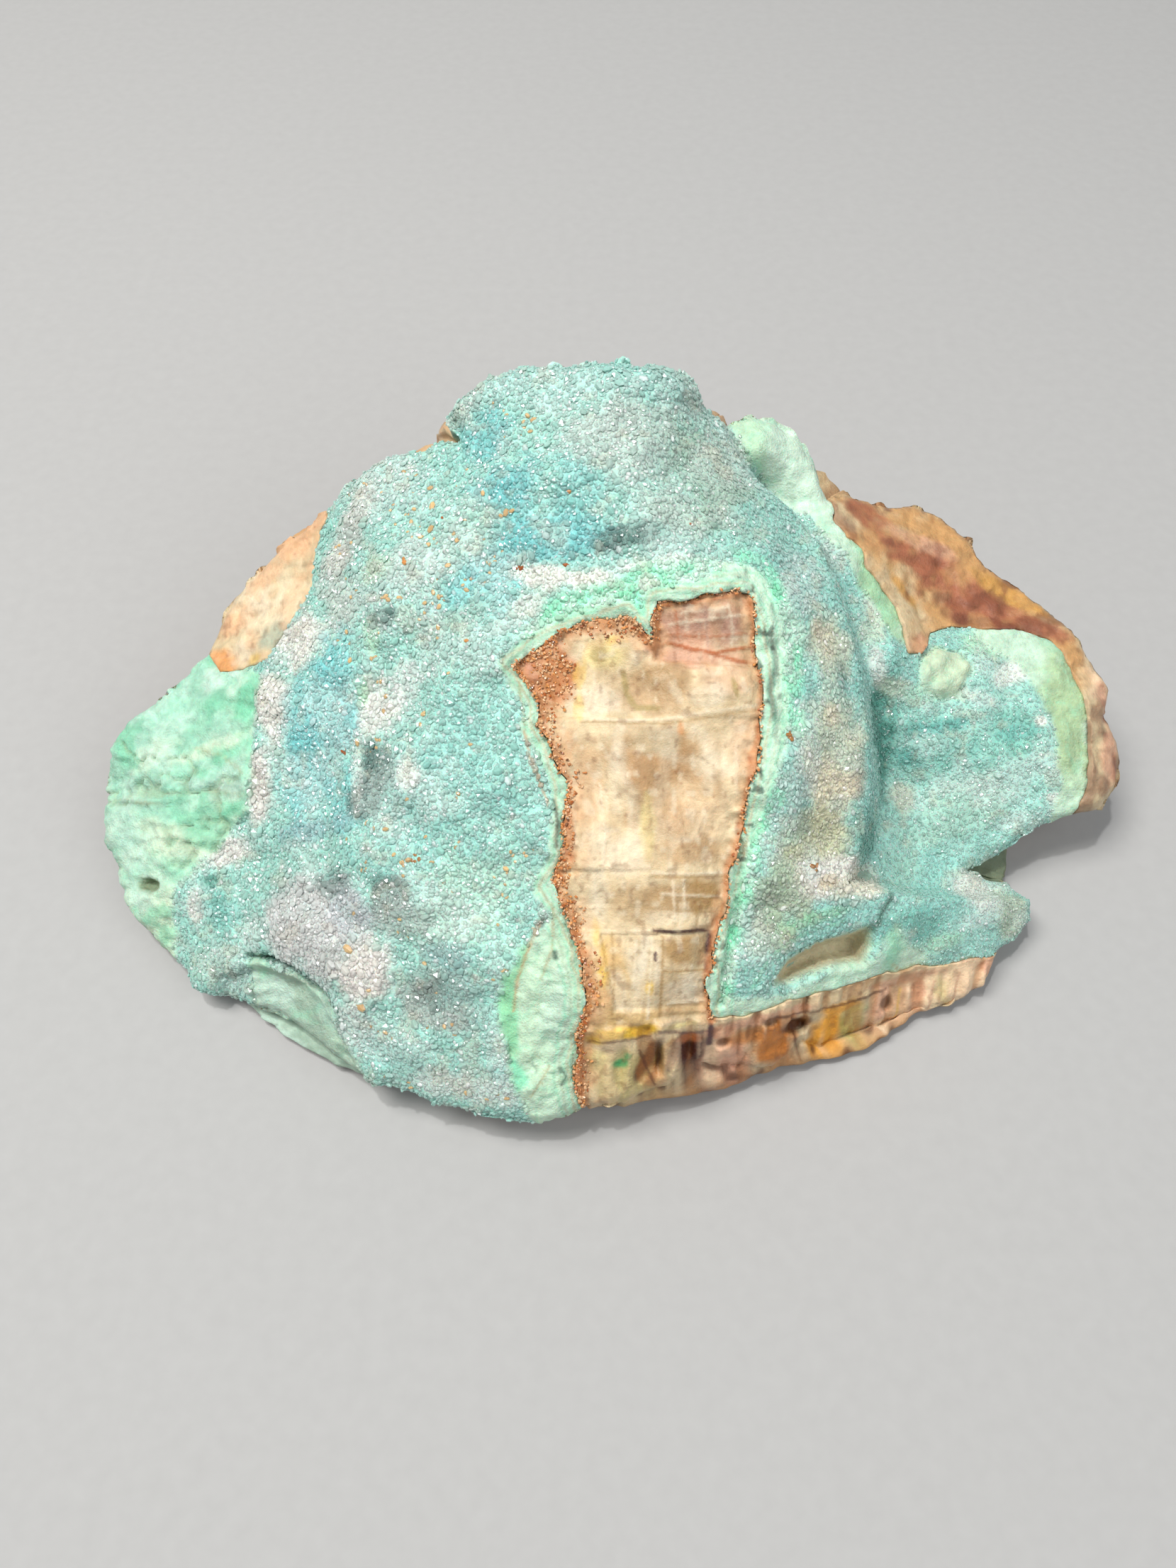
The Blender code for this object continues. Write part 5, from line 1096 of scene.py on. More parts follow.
def rounded_edge(where, ring, radius):
    """How far the surface drops as it nears a ring, like a quarter round."""
    share = 1.0 - np.clip(distance_to(ring, where) / radius, 0.0, 1.0)
    return radius * (1.0 - np.sqrt(1.0 - share * share))


def crust_height(where, chalk, fuzz):
    """Height of the crust's top: rounded at the outline, stepped and lower at the window."""
    height = face_height(where) + crust_relief(where, chalk, fuzz)
    height -= rounded_edge(where, SILHOUETTE, CRUST_EDGE_RADIUS)
    rim = window_distance(where)
    terrace = TERRACE_RISE * np.sin(rim * LINING_TURNS) * (1.0 - smooth_step(rim, 0.8, 1.2))
    return height + terrace - LIP_DROP * np.clip(1.0 - rim / LIP_WIDTH, 0.0, 1.0) ** 2


SILHOUETTE = LEFT_EDGE + LEFT_BACK_ROCK[1:] + CROWN[1:]
SILHOUETTE += RIGHT_BACK_ROCK[1:] + RIGHT_EDGE[1:] + FRONT_ROCK[1:-1]

# Open seams of the window's lowest block, and pits of the front rim: middle, half sizes and depth.
SEAM = [(7.8, -15.2), (7.6, -12.0), (7.4, -9.4), (7.9, -8.4)]
CROSS_SEAM = [(4.4, -9.1), (5.6, -9.2), (7.4, -9.0)]
FRONT_PITS = [
    (13.8, -16.0, 1.0, 0.7, 1.0), (4.5, -17.4, 0.4, 1.5, 0.6), (8.7, -16.6, 0.6, 0.5, 0.5),
    (6.4, -17.0, 0.5, 0.9, 0.5), (20.4, -15.0, 0.5, 0.8, 0.5), (11.8, -15.4, 0.7, 0.4, 0.4),
]


def fibres(where):
    """Upright fibres of the front rim: below 0 in the gaps, above 0 on the ridges."""
    points = flat(where) * FIBRE_STRETCH
    return layered(points, FIBRES) + 0.3 * np.round(1.5 * noise(points, 2.4, SEED + 140))


def front_pit_reach(where, u, v, half_u, half_v):
    """Distance from the middle of a pit in the front rim, ragged, about 1 on its border."""
    return patch_reach(where, u, v, half_u, half_v) + 0.25 * ragged(where, SEED + 87)


def window_relief(where):
    """Cleavage blocks of the window, with their seams, raised veils and grainy border."""
    points = flat(where)
    u, v = where[:, 0], where[:, 1]
    relief = layered(points, FINE_CLEAVAGE)
    for top, low, stand, along_u, along_v in BLOCKS:
        above = smooth_step(v, low - BLOCK_STEP, low + BLOCK_STEP)
        here = above * (1.0 - smooth_step(v, top - BLOCK_STEP, top + BLOCK_STEP))
        tilted = along_u * (u - WINDOW_MIDDLE) + along_v * (v - max(low, min(top, WINDOW_HIGH)))
        relief += here * (stand + tilted)
    relief += 0.07 * np.round(2.4 * noise(points * (1.0, 0.7, 1.0), 3.1, SEED + 80))
    relief -= SUNK_DEPTH * pressed(SUNK_BLOCK, where, 1.0, 0.25)
    relief -= LOW_BLOCK_DEPTH * pressed(LOW_BLOCK, where, 1.0, 0.2)
    grainy = 1.0 - smooth_step(window_distance(where) + 0.25 * ragged(where, SEED + 82), 0.5, 1.2)
    relief += grainy * (layered(points, EDGE_GRAINS) - 0.1)
    seams = np.minimum(distance_to(SEAM, where, ring=False), distance_to(CROSS_SEAM, where, ring=False))
    relief -= SEAM_DEPTH * (1.0 - smooth_step(seams, 0.05, 0.3))
    raised = [stroke for stroke in STROKES if stroke[2] in RAISED_LINES]
    return relief + RAISED_HEIGHT * stroke_share(where, raised)


def rim_relief(where):
    """Fibres and pits of the front rim, and the flatter broken rock behind the crust."""
    points = flat(where)
    columns = FIBRE_RISE * fibres(where) + layered(points, COLUMN_LUMPS)
    for *pit, depth in FRONT_PITS:
        columns -= depth * (1.0 - smooth_step(front_pit_reach(where, *pit), 0.4, 1.1))
    flatter = 0.16 * np.round(1.8 * noise(points, 3.6, SEED + 88))
    flatter += 0.30 * np.abs(noise(points, 1.9, SEED + 169)) + layered(points, BACK_LUMPS)
    behind = smooth_step(where[:, 1], -13.5, -12.0)
    return columns * (1.0 - behind) + flatter * behind + layered(points, BARE_LUMPS)


def bare_height(where):
    """Height of the rock where the crust doesn't cover it."""
    in_window = within(WINDOW_RING, where, 0.25)
    relief = in_window * window_relief(where) + (1.0 - in_window) * rim_relief(where)
    return face_height(where) + relief - rounded_edge(where, SILHOUETTE, ROCK_EDGE_RADIUS)


def window_colour(where, colour, in_window):
    """The window's calcite with its veils, its mosaic of cleavage, its shade and its flakes."""
    points = flat(where)
    veil = thin_lines(noise(points * (1.0, 0.6, 1.0), 1.5, SEED + 100), 0.03, 0.22)
    colour = stained(points, colour, VEIL_CLOUDS, veil * in_window)
    mosaic = np.round(2.2 * noise(points * (1.3, 0.8, 1.0), 2.1, SEED + 147)) / 2.2
    mosaic += 0.6 * np.round(2.0 * noise(points * (1.1, 0.9, 1.0), 0.9, SEED + 148)) / 2.0
    colour = colour * (1.0 + MOSAIC_CONTRAST * mosaic * in_window)[:, None]
    return stained(points, colour, WINDOW_STAINS, in_window)


def front_colour(where, colour, front):
    """The front rim with amber in the gaps between its pale fibres and painted shade in the deepest of them.
    """
    upright = fibres(where)
    colour = mixed(colour, 0.42 * smooth_step(-upright, 0.05, 0.75) * front, "rock_amber")
    # Painted shade: the deepest gaps between the fibres are darkened, most over the middle of the rim.
    deep_gap_shade = smooth_step(0.5 * noise(flat(where), 1.8, SEED + 105) - upright, 0.35, 0.8) * front
    gap_shade_span = smooth_step(where[:, 0], 2.0, 5.0) * (1.0 - 0.9 * smooth_step(where[:, 0], 13.0, 16.0))
    colour = mixed(colour, 0.5 * deep_gap_shade * gap_shade_span, "rock_dark_and_shade")
    return mixed(colour, 0.35 * smooth_step(upright, 0.2, 0.8) * front, "rock_cream")


def rusty_edge(where, colour):
    """Rust along the edge of the window: widest on its left, with a pale band and a rusty corner."""
    points = flat(where)
    edge = window_distance(where) + 0.28 * ragged(where, SEED + 104)
    left = 1.0 - smooth_step(where[:, 0], 2.0, 6.0)
    wide = 0.5 + 0.5 * noise(points, 1.6, SEED + 109)
    band = 1.0 - smooth_step(edge, 0.12 + 0.3 * wide * left, 0.4 + (0.2 + 0.6 * left) * wide)
    corner = patch_reach(where, *RUSTY_CORNER) + 0.35 * ragged(where, SEED + 142)
    band = np.maximum(band, (1.0 - smooth_step(corner, 0.7, 1.15)) * smooth_step(edge, -0.5, 0.1))
    pale = 1.0 - smooth_step(edge, 0.6 + 0.4 * left, 1.0 + 0.9 * left)
    colour = stained(points, colour, PALE_EDGE, pale)
    colour = mixed(colour, 0.75 * band, "rim")
    return stained(points, colour, RUSTY_GRAINS, band)


def bare_colour(where):
    """Colours of the bare rock on the display side."""
    points = flat(where)
    colour = np.tile(COLOURS["calcite"], (len(where), 1))
    for seed, patches in enumerate((WINDOW_PATCHES, FRONT_PATCHES, BACK_PATCHES)):
        colour = painted(where, colour, patches, SEED + 90 + 3 * seed)
    in_window = within(WINDOW_RING, where, RING_FADE)
    colour = window_colour(where, colour, in_window)
    front = (1.0 - in_window) * (1.0 - smooth_step(where[:, 1], -12.5, -11.0))
    colour = front_colour(where, colour, front)
    behind = (1.0 - in_window) * (1.0 - front)
    right = smooth_step(where[:, 0], 5.0, 10.0)
    colour = stained(points, colour, RIGHT_BACK_STAINS, behind * right)
    colour = stained(points, colour, LEFT_BACK_STAINS, behind * (1.0 - right))
    colour = stained(points, colour, BACK_STAINS, behind)
    colour = rusty_edge(where, stroked(where, colour, STROKES))
    # Painted shade in the pits of the front rim.
    for *pit, _ in FRONT_PITS:
        dark = 1.0 - smooth_step(front_pit_reach(where, *pit), 0.4, 0.9)
        colour = mixed(colour, 0.7 * dark, "rock_dark_and_shade")
    return stained(points, colour, LIMONITE_SPECKS) * STONE_GAIN


def divided(path, step):
    """The path with even points between its own, without its last point."""
    made = []
    for start, end in zip(np.array(path[:-1]), np.array(path[1:])):
        pieces = max(1, round(float(np.linalg.norm(end - start)) / step))
        made += [start + (end - start) * k / pieces for k in range(pieces)]
    return made


def with_corners(path):
    """The path with a point close to each end, where the seat of the crust meets the outline."""
    path = np.array(path)
    first, last = path[1] - path[0], path[-2] - path[-1]
    near_first = path[0] + first / np.linalg.norm(first) * SEAT_CORNER
    near_last = path[-1] + last / np.linalg.norm(last) * SEAT_CORNER
    return [path[0], near_first, *path[1:-1], near_last, path[-1]]


def roughened(points):
    """The points shifted by a small smooth warp, so that straight cuts look broken."""
    points = np.array(points)
    near_edge = 1.0 - smooth_step(window_distance(points), 0.4, 2.0)
    lumpy = smooth_step(points[:, 1], 12.0, 17.0)
    for size, reach, seed, more in OUTLINE_WARPS:
        shift = [noise(flat(points), size, SEED + seed + k) for k in range(2)]
        reach = reach * (1.0 + 0.7 * near_edge + more * lumpy)
        points = points + reach[:, None] * np.column_stack(shift)
    return points


class Outline:
    """Fine outlines: their points, the crust's ring, the rock's ring and the seats between."""

    def __init__(self):
        bare = [
            (LEFT_BACK_CRUST, with_corners(LEFT_BACK_ROCK)),
            (RIGHT_BACK_CRUST, with_corners(RIGHT_BACK_ROCK)),
            (FRONT_CRUST + WINDOW_EDGE[1:], with_corners(FRONT_ROCK)),
        ]
        self.points = []
        left, crown, right = (self.add(divided(path, EDGE_STEP)) for path in (LEFT_EDGE, CROWN, RIGHT_EDGE))
        inner = [self.add(divided(crust, EDGE_STEP)) for crust, _ in bare]
        outer = [self.add(divided(rock, EDGE_STEP)[1:]) for _, rock in bare]
        self.crust_ring = left + inner[0] + crown + inner[1] + right + inner[2]
        first = [ring[:1] for ring in inner]
        self.rock_ring = left + first[0] + outer[0] + crown + first[1] + outer[1]
        self.rock_ring += right + first[2] + outer[2]
        self.seats = []
        for ring, rocks, follows in zip(inner, outer, (crown[0], right[0], left[0])):
            path = [self.points[i] for i in ring] + [self.points[follows]]
            self.seats.append([rocks[0]] + self.add(moved_aside(path, SEAT_WIDTH)) + [rocks[-1]])
        self.points = roughened(self.points)

    def add(self, points):
        first = len(self.points)
        self.points += [np.array(point) for point in points]
        return list(range(first, len(self.points)))


def closed_sides(ring):
    return list(zip(ring, ring[1:] + ring[:1]))


def spread(step, low, high, seed):
    """Evenly spread points over a box, shifted a little each."""
    shift = np.random.default_rng(seed)
    rows = np.arange(low[1], high[1], step * math.sqrt(0.75))
    columns = np.arange(low[0], high[0], step)
    u = np.tile(columns, (len(rows), 1)) + (np.arange(len(rows)) % 2)[:, None] * step / 2.0
    v = np.tile(rows[:, None], (1, len(columns)))
    points = np.column_stack([u.ravel(), v.ravel()])
    return points + shift.uniform(-0.2, 0.2, points.shape) * step


def triangulated(points, sides, ring):
    """Triangles between the points that keep these sides and lie inside the ring."""
    found = delaunay_2d_cdt([tuple(p) for p in points], sides, [], 0, 1e-7)
    origins = found[3]
    if len(found[0]) != len(points) or any(len(origin) != 1 for origin in origins):
        raise ValueError("outlines cross each other")
    number = np.array([origin[0] for origin in origins])
    triangles = number[np.array(found[2])]
    return triangles[inside(ring, points[triangles].mean(axis=1))]


def wall(upper, lower):
    """Triangles between two closed rings of the same length, facing out."""
    upper, lower = np.array(upper), np.array(lower)
    next_upper, next_lower = np.roll(upper, -1), np.roll(lower, -1)
    return np.vstack([
        np.column_stack([upper, next_upper, next_lower]), np.column_stack([upper, next_lower, lower]),
    ])


def add_object(name, points, faces, colours, material, smooth=True):
    """A mesh object from millimetre points, with a colour at each point."""
    mesh = bpy.data.meshes.new(name)
    mesh.vertices.add(len(points))
    mesh.vertices.foreach_set("co", ((points - (CENTRE_X, CENTRE_Y, 0.0)) * MM).astype(np.float32).ravel())
    faces = np.asarray(faces, np.int32)
    mesh.loops.add(faces.size)
    mesh.loops.foreach_set("vertex_index", faces.ravel())
    mesh.polygons.add(len(faces))
    mesh.polygons.foreach_set("loop_start", np.arange(0, faces.size, 3, dtype=np.int32))
    mesh.polygons.foreach_set("use_smooth", np.full(len(faces), smooth))
    mesh.update(calc_edges=True)
    tint = mesh.color_attributes.new("Tint", "FLOAT_COLOR", "POINT")
    rgba = np.column_stack([np.clip(colours, 0.0, 1.0), np.ones(len(colours))])
    tint.data.foreach_set("color", rgba.astype(np.float32).ravel())
    mesh.materials.append(material)
    mesh.validate()
    made = bpy.data.objects.new(name, mesh)
    bpy.context.scene.collection.objects.link(made)
    return made


def base_reach(angle):
    """Distance from the base's middle to its outline in this direction."""
    corners = np.array(BASE) - BASE_MIDDLE
    angles = np.arctan2(corners[:, 1], corners[:, 0])
    order = np.argsort(angles)
    return np.interp(angle, angles[order], np.linalg.norm(corners, axis=1)[order], period=2 * math.pi)


def steady_angles(rim):
    """Direction of each rim point from the base's middle, made to turn one way only."""
    offsets = rim[:, :2] - BASE_MIDDLE
    turned = -np.unwrap(np.arctan2(offsets[:, 1], offsets[:, 0]))
    turned = np.maximum.accumulate(turned)
    count = len(turned)
    around = np.concatenate([turned - 2 * math.pi, turned, turned + 2 * math.pi])
    smooth = np.convolve(around, np.ones(5) / 5.0, "same")[count : 2 * count]
    return -smooth


def broken(points):
    """The points with whatever lies past a flat break brought back to it."""
    points = points.copy()
    for turn, lean, reach in BREAKS:
        turn, lean = math.radians(turn), math.radians(lean)
        level = np.array([math.cos(turn), math.sin(turn), 0.0])
        out = level * math.cos(lean) + np.array([0.0, 0.0, math.sin(lean)])
        on_plane = np.array([*BASE_MIDDLE, BREAK_HEIGHT]) + level * reach
        past = np.maximum(0.0, (points - on_plane) @ out)
        points -= past[:, None] * out
    return points


def calmed(ring, half_width):
    """The closed ring with its small steps evened out."""
    return sum(np.roll(ring, k, axis=0) for k in range(-half_width, half_width + 1)) / (2 * half_width + 1)


def outward(ring):
    """The direction out of a clockwise ring at each of its points."""
    along = np.roll(ring, -1, axis=0) - np.roll(ring, 1, axis=0)
    return np.column_stack([-along[:, 1], along[:, 0]]) / np.linalg.norm(along, axis=1)[:, None]


def near_window(where):
    """Whether a point of the crust is in the lining of the window or on the bare plate beside it."""
    return (window_distance(where) < NEAR_WINDOW) | inside(CHALK_RINGS["plate"], where)


def in_front(where):
    """Whether a point of the bare rock is in the window or on the front rim."""
    return (np.abs(where[:, 0] - 3.5) < 9.5) & (where[:, 1] < 14.0) | (where[:, 1] < -9.0)


class Layout:
    """The cut of the face: the crust's fine top, and the rock with the coarse seat under the crust."""

    def __init__(self):
        outline = Outline()
        self.crust_ring, self.rock_ring = outline.crust_ring, outline.rock_ring
        crust = outline.points[self.crust_ring]
        rock = outline.points[self.rock_ring]
        low, high = rock.min(axis=0), rock.max(axis=0)
        wide, close = spread(CRUST_STEP, low, high, SEED), spread(NEAR_STEP, low, high, SEED + 3)
        fine = np.vstack([wide[~near_window(wide)], close[near_window(close)]])
        fine = fine[inside(crust, fine)]
        fine = fine[distance_to(crust, fine) > 0.5 * NEAR_STEP]
        self.top = np.vstack([crust, fine])
        self.top_triangles = triangulated(self.top, closed_sides(list(range(len(crust)))), crust)
        wide, close = spread(BARE_STEP, low, high, SEED + 1), spread(WINDOW_STEP, low, high, SEED + 4)
        bare = np.vstack([wide[~in_front(wide)], close[in_front(close)]])
        bare = bare[inside(rock, bare) & ~inside(crust, bare)]
        clear = distance_to(rock, bare) > 0.5 * WINDOW_STEP
        bare = bare[clear & (distance_to(crust, bare) > SEAT_WIDTH + 0.4 * WINDOW_STEP)]
        hidden = spread(HIDDEN_STEP, low, high, SEED + 2)
        hidden = hidden[inside(crust, hidden)]
        hidden = hidden[distance_to(crust, hidden) > 0.4 * HIDDEN_STEP]
        self.places = np.vstack([outline.points, bare, hidden])
        sides = closed_sides(self.crust_ring) + closed_sides(self.rock_ring)
        for seat in outline.seats:
            sides += list(zip(seat[:-1], seat[1:]))
        self.rock_triangles = triangulated(self.places, sides, rock)
        middles = self.places[self.rock_triangles].mean(axis=1)
        self.seat_triangles = self.rock_triangles[inside(crust, middles)]
        self.under_crust = np.zeros(len(self.places), bool)
        self.under_crust[np.unique(self.seat_triangles)] = True
        self.seat_height = face_height(self.places)
        self.seat_height -= crust_thickness(self.places, self.seat_height)


def crust_wall(ring, high, low, colour):
    """Rows of points down the crust's edge: their face places, heights and colours."""
    open_side = 1.0 - smooth_step(distance_to(SILHOUETTE, ring), 0.3, 0.6)
    out = outward(ring)
    for row in range(1, WALL_ROWS):
        share = row / WALL_ROWS
        level = high + (low - high) * share
        place = np.column_stack([ring, level])
        shift = open_side * (layered(place, WALL_LUMPS) - WALL_UNDERCUT * share)
        banded = smooth_step(layered(place, WALL_BANDS), -0.1, 0.4)
        edge = colour * (1.0 - 0.3 * banded[:, None])
        chalky = smooth_step(noise(place, 1.4, SEED + 113), -0.1, 0.5)[:, None]
        edge = edge + 0.6 * chalky * (COLOURS["mint_broken"] * CHALK_GAIN - edge)
        yield ring + out * shift[:, None], level, edge


def make_crust(layout):
    """The crystal layer: its lumpy top, its broken edge and its hidden underside."""
    where = layout.top
    chalk, fuzz = chalk_share(where), fuzz_share(where)
    height = crust_height(where, chalk, fuzz)
    colour = crust_colour(where, chalk)
    count = len(layout.crust_ring)
    points, faces, colours, chalks = [to_world(where, height)], [layout.top_triangles], [colour], [chalk]
    upper = np.arange(count)
    total = len(where)
    low = layout.seat_height[layout.crust_ring]
    for ring, level, edge in crust_wall(where[:count], height[:count], low, colour[:count]):
        points.append(to_world(ring, level))
        colours.append(edge)
        chalks.append(np.full(count, WALL_CHALK))
        lower = np.arange(total, total + count)
        faces.append(wall(upper, lower))
        upper, total = lower, total + count
    used = np.unique(layout.seat_triangles)
    number = np.full(len(layout.places), -1)
    number[used] = np.arange(total, total + len(used))
    points.append(to_world(layout.places[used], layout.seat_height[used]))
    colours.append(np.tile(COLOURS["crust_back"] * CHALK_GAIN, (len(used), 1)))
    chalks.append(np.ones(len(used)))
    faces.append(wall(upper, number[layout.crust_ring]))
    faces.append(number[layout.seat_triangles][:, ::-1])
    crust = add_object("druse_crust", np.vstack(points), np.vstack(faces), np.vstack(colours), crust_finish())
    bare = crust.data.attributes.new("Chalk", "FLOAT", "POINT")
    bare.data.foreach_set("value", np.concatenate(chalks).astype(np.float32))
    return crust, to_world(where, height), colour, chalk


def skirt_roughness(ring, behind):
    """How far the side stands out or back at each point: lumps, breaks behind and fibres in front."""
    rough = sum(rise * noise(ring, size, SEED + 20 + k) for k, (size, rise) in enumerate(ROCK_LUMPS))
    rough += np.round(1.6 * noise(ring * (1.0, 1.0, 1.5), 3.4, SEED + 120)) * 0.3 * behind
    rough += 0.5 * behind * np.abs(noise(ring, 3.0, SEED + 174)) + layered(ring, SIDE_LUMPS)
    return rough + (1.0 - behind) * layered(ring, SIDE_FIBRES)


def skirt_rings(rim):
    """Rings of points from the rim down to the flat base."""
    angle = steady_angles(rim)
    out = np.column_stack([np.cos(angle), np.sin(angle)])
    foot = out * base_reach(angle)[:, None] + BASE_MIDDLE
    spread_out = ((foot - rim[:, :2]) * out).sum(axis=1)
    behind = np.clip(spread_out / 8.0 + 0.5, 0.0, 1.0)
    calm = calmed(rim, CALM_REACH)
    rings = []
    for step in range(1, SKIRT_RINGS + 1):
        share = step / SKIRT_RINGS
        out_share = behind * (1.0 - (1.0 - share) ** 1.5) + (1.0 - behind) * share**1.4
        down_share = behind * share + (1.0 - behind) * (1.0 - (1.0 - share) ** 1.5)
        start = rim + (calm - rim) * (min(1.0, 2.5 * share) * behind)[:, None]
        place = start[:, :2] + (foot - start[:, :2]) * out_share[:, None]
        place += out * (behind * BACK_BULGE * math.sin(math.pi * share))[:, None]
        ring = np.column_stack([place, start[:, 2] * (1.0 - down_share)])
        if step < SKIRT_RINGS:
            ring = broken(ring)
            rough = skirt_roughness(ring, behind)
            ring[:, :2] += out * (rough * (0.35 + 0.65 * behind))[:, None]
            ring[:, 2] = np.maximum(ring[:, 2] + 0.5 * rough * behind, SKIRT_RISE * (SKIRT_RINGS - step))
        rings.append(ring)
    return rings


def side_colour(points):
    """Iron-stained calcite of the sides, the back and the base."""
    return stained(points, np.tile(COLOURS["back_pale"], (len(points), 1)), SIDE_STAINS) * STONE_GAIN


def broken_colour(points):
    """Layered chalky green of the crust's broken front edge."""
    colour = np.tile(COLOURS["mint_broken"], (len(points), 1))
    return stained(points, colour, BROKEN_LAYERS) * CHALK_GAIN


def make_rock(layout):
    """The rock: the calcite window, its bare rims, its sides and its flat base."""
    height = np.where(layout.under_crust, layout.seat_height - SEAT_GAP, bare_height(layout.places))
    points = to_world(layout.places, height)
    colour = bare_colour(layout.places)
    faces = [layout.rock_triangles]
    upper = np.array(layout.rock_ring)
    rim_colour = colour[upper]
    rim = layout.places[upper]
    mint_side = smooth_step(-rim[:, 0], 8.0, 10.5) * smooth_step(-rim[:, 1], 0.0, 4.0)
    # Painted shadow: the skirt seen through the notch at the right is darkened, as if in shade.
    notch_shadow = 1.0 - smooth_step(np.linalg.norm(rim - NOTCH, axis=1), 2.5, 4.5)
    front = rim[:, 1] < FRONT_BELOW
    colour[upper] += mint_side[:, None] * (broken_colour(points[upper]) - rim_colour)
    for step, ring in enumerate(skirt_rings(points[upper]), 1):
        lower = np.arange(len(points), len(points) + len(ring))
        near_rim = np.clip(1.0 - step / np.where(front, FRONT_RINGS, RIM_RINGS), 0.0, 1.0)[:, None]
        side = side_colour(ring) * (1.0 - near_rim) + rim_colour * near_rim
        # Painted shade: the gaps between the fibres of the front skirt are darkened.
        gaps = 0.8 * smooth_step(layered(ring, SIDE_GAPS), 0.0, 0.6) * front * (rim[:, 0] > 1.0)
        side += gaps[:, None] * (COLOURS["rock_dark_and_shade"] * STONE_GAIN - side)
        reach = step + 2.0 * noise(ring, 2.0, SEED + 143)
        under_edge = mint_side * (1.0 - smooth_step(reach, 15.0, 21.0))
        side += under_edge[:, None] * (broken_colour(ring) - side)
        side += 0.8 * notch_shadow[:, None] * (COLOURS["crust_dark_and_shade"] * STONE_GAIN - side)
        points, colour = np.vstack([points, ring]), np.vstack([colour, side])
        faces.append(wall(upper, lower))
        upper = lower
    middle = len(points)
    points = np.vstack([points, (*BASE_MIDDLE, 0.0)])
    colour = np.vstack([colour, side_colour(points[-1:])])
    faces.append(np.column_stack([upper, np.roll(upper, -1), np.full(len(upper), middle)]))
    return add_object("rock", points, np.vstack(faces), colour, calcite_finish())


# One crystal: a flattened six-sided blade with a chisel top, pointed where it is sunk in the crust.
BLADE = np.array(
    [(math.cos(math.radians(30 + 60 * k)), 0.7 * math.sin(math.radians(30 + 60 * k)), 0.56) for k in range(6)]
    + [(0.5, 0.0, 1.0), (-0.5, 0.0, 1.0), (0.0, 0.0, -0.7)]
)
BLADE_SHADES = [1.0] * 6 + [1.14] * 2 + [0.8]
BLADE_FACES = np.array([
    (5, 0, 6), (0, 1, 6), (1, 7, 6), (1, 2, 7), (2, 3, 7), (3, 4, 7), (4, 6, 7), (4, 5, 6),
    (1, 0, 8), (2, 1, 8), (3, 2, 8), (4, 3, 8), (5, 4, 8), (0, 5, 8),
])


def scattered(points, triangles, weight, cell, seed):
    """Random places on a mesh, one at most in each cell of space: triangle numbers and corner shares."""
    chance = np.random.default_rng(seed)
    corners = points[triangles]
    normal = np.cross(corners[:, 1] - corners[:, 0], corners[:, 2] - corners[:, 0])
    share = np.linalg.norm(normal, axis=1) / 2.0 * weight[triangles].mean(axis=1)
    picked = chance.choice(len(triangles), int(2.4 * share.sum() / cell**2), p=share / share.sum())
    along = chance.random((len(picked), 2))
    over = along.sum(axis=1) > 1.0
    along[over] = 1.0 - along[over]
    shares = np.column_stack([1.0 - along.sum(axis=1), along])
    place = (corners[picked] * shares[:, :, None]).sum(axis=1)
    _, first = np.unique(np.floor(place / cell).astype(int), axis=0, return_index=True)
    first.sort()
    return picked[first], shares[first]


def blades(place, axis, size, length, turn):
    """Crystals at these places along these directions: their points, nine to each."""
    steep = np.abs(axis[:, 2:3]) >= 0.9
    level = np.cross(axis, np.where(steep, (1.0, 0.0, 0.0), (0.0, 0.0, 1.0)))
    level /= np.linalg.norm(level, axis=1)[:, None]
    cross = np.cross(axis, level)
    first = level * np.cos(turn)[:, None] + cross * np.sin(turn)[:, None]
    second = np.cross(axis, first)
    scaled = BLADE[None] * np.column_stack([size, size, length])[:, None]
    frame = np.stack([first, second, axis], axis=1)
    return place[:, None] + scaled @ frame


def add_blades(name, points, colours, material):
    """One object from many crystals, each with a colour that pales towards its tip."""
    count = len(points)
    faces = (BLADE_FACES[None] + len(BLADE) * np.arange(count)[:, None, None]).reshape(-1, 3)
    tinted = colours[:, None] * np.array(BLADE_SHADES)[None, :, None]
    return add_object(name, points.reshape(-1, 3), faces, tinted.reshape(-1, 3), material, smooth=False)


def crystal_colours(colour, chance):
    """Each crystal's colour: a paler form of the crust under it, some nearly clear."""
    shade = chance.normal(1.0, 0.05, (len(colour), 1))
    grey = colour.mean(axis=1)[:, None]
    pale = chance.uniform(0.0, 0.2, (len(colour), 1))
    clear = np.clip(chance.random((len(colour), 1)) - 0.93, 0.0, 1.0) * 6.0
    colour = colour + pale * (grey - colour)
    return np.clip((colour + clear * (1.0 - colour)) * shade, 0.0, 0.97)


def stain_share(where):
    """The share of the crystals that carry a tan iron stain, most in small groups left of the window."""
    left = smooth_step(where[:, 0], -18.0, -14.0) * (1.0 - smooth_step(where[:, 0], -4.0, -1.0))
    groups = smooth_step(layered(flat(where), STAINED_GROUPS), 0.35, 0.8)
    return left * (STAINED_FEW + STAINED_MORE * groups)


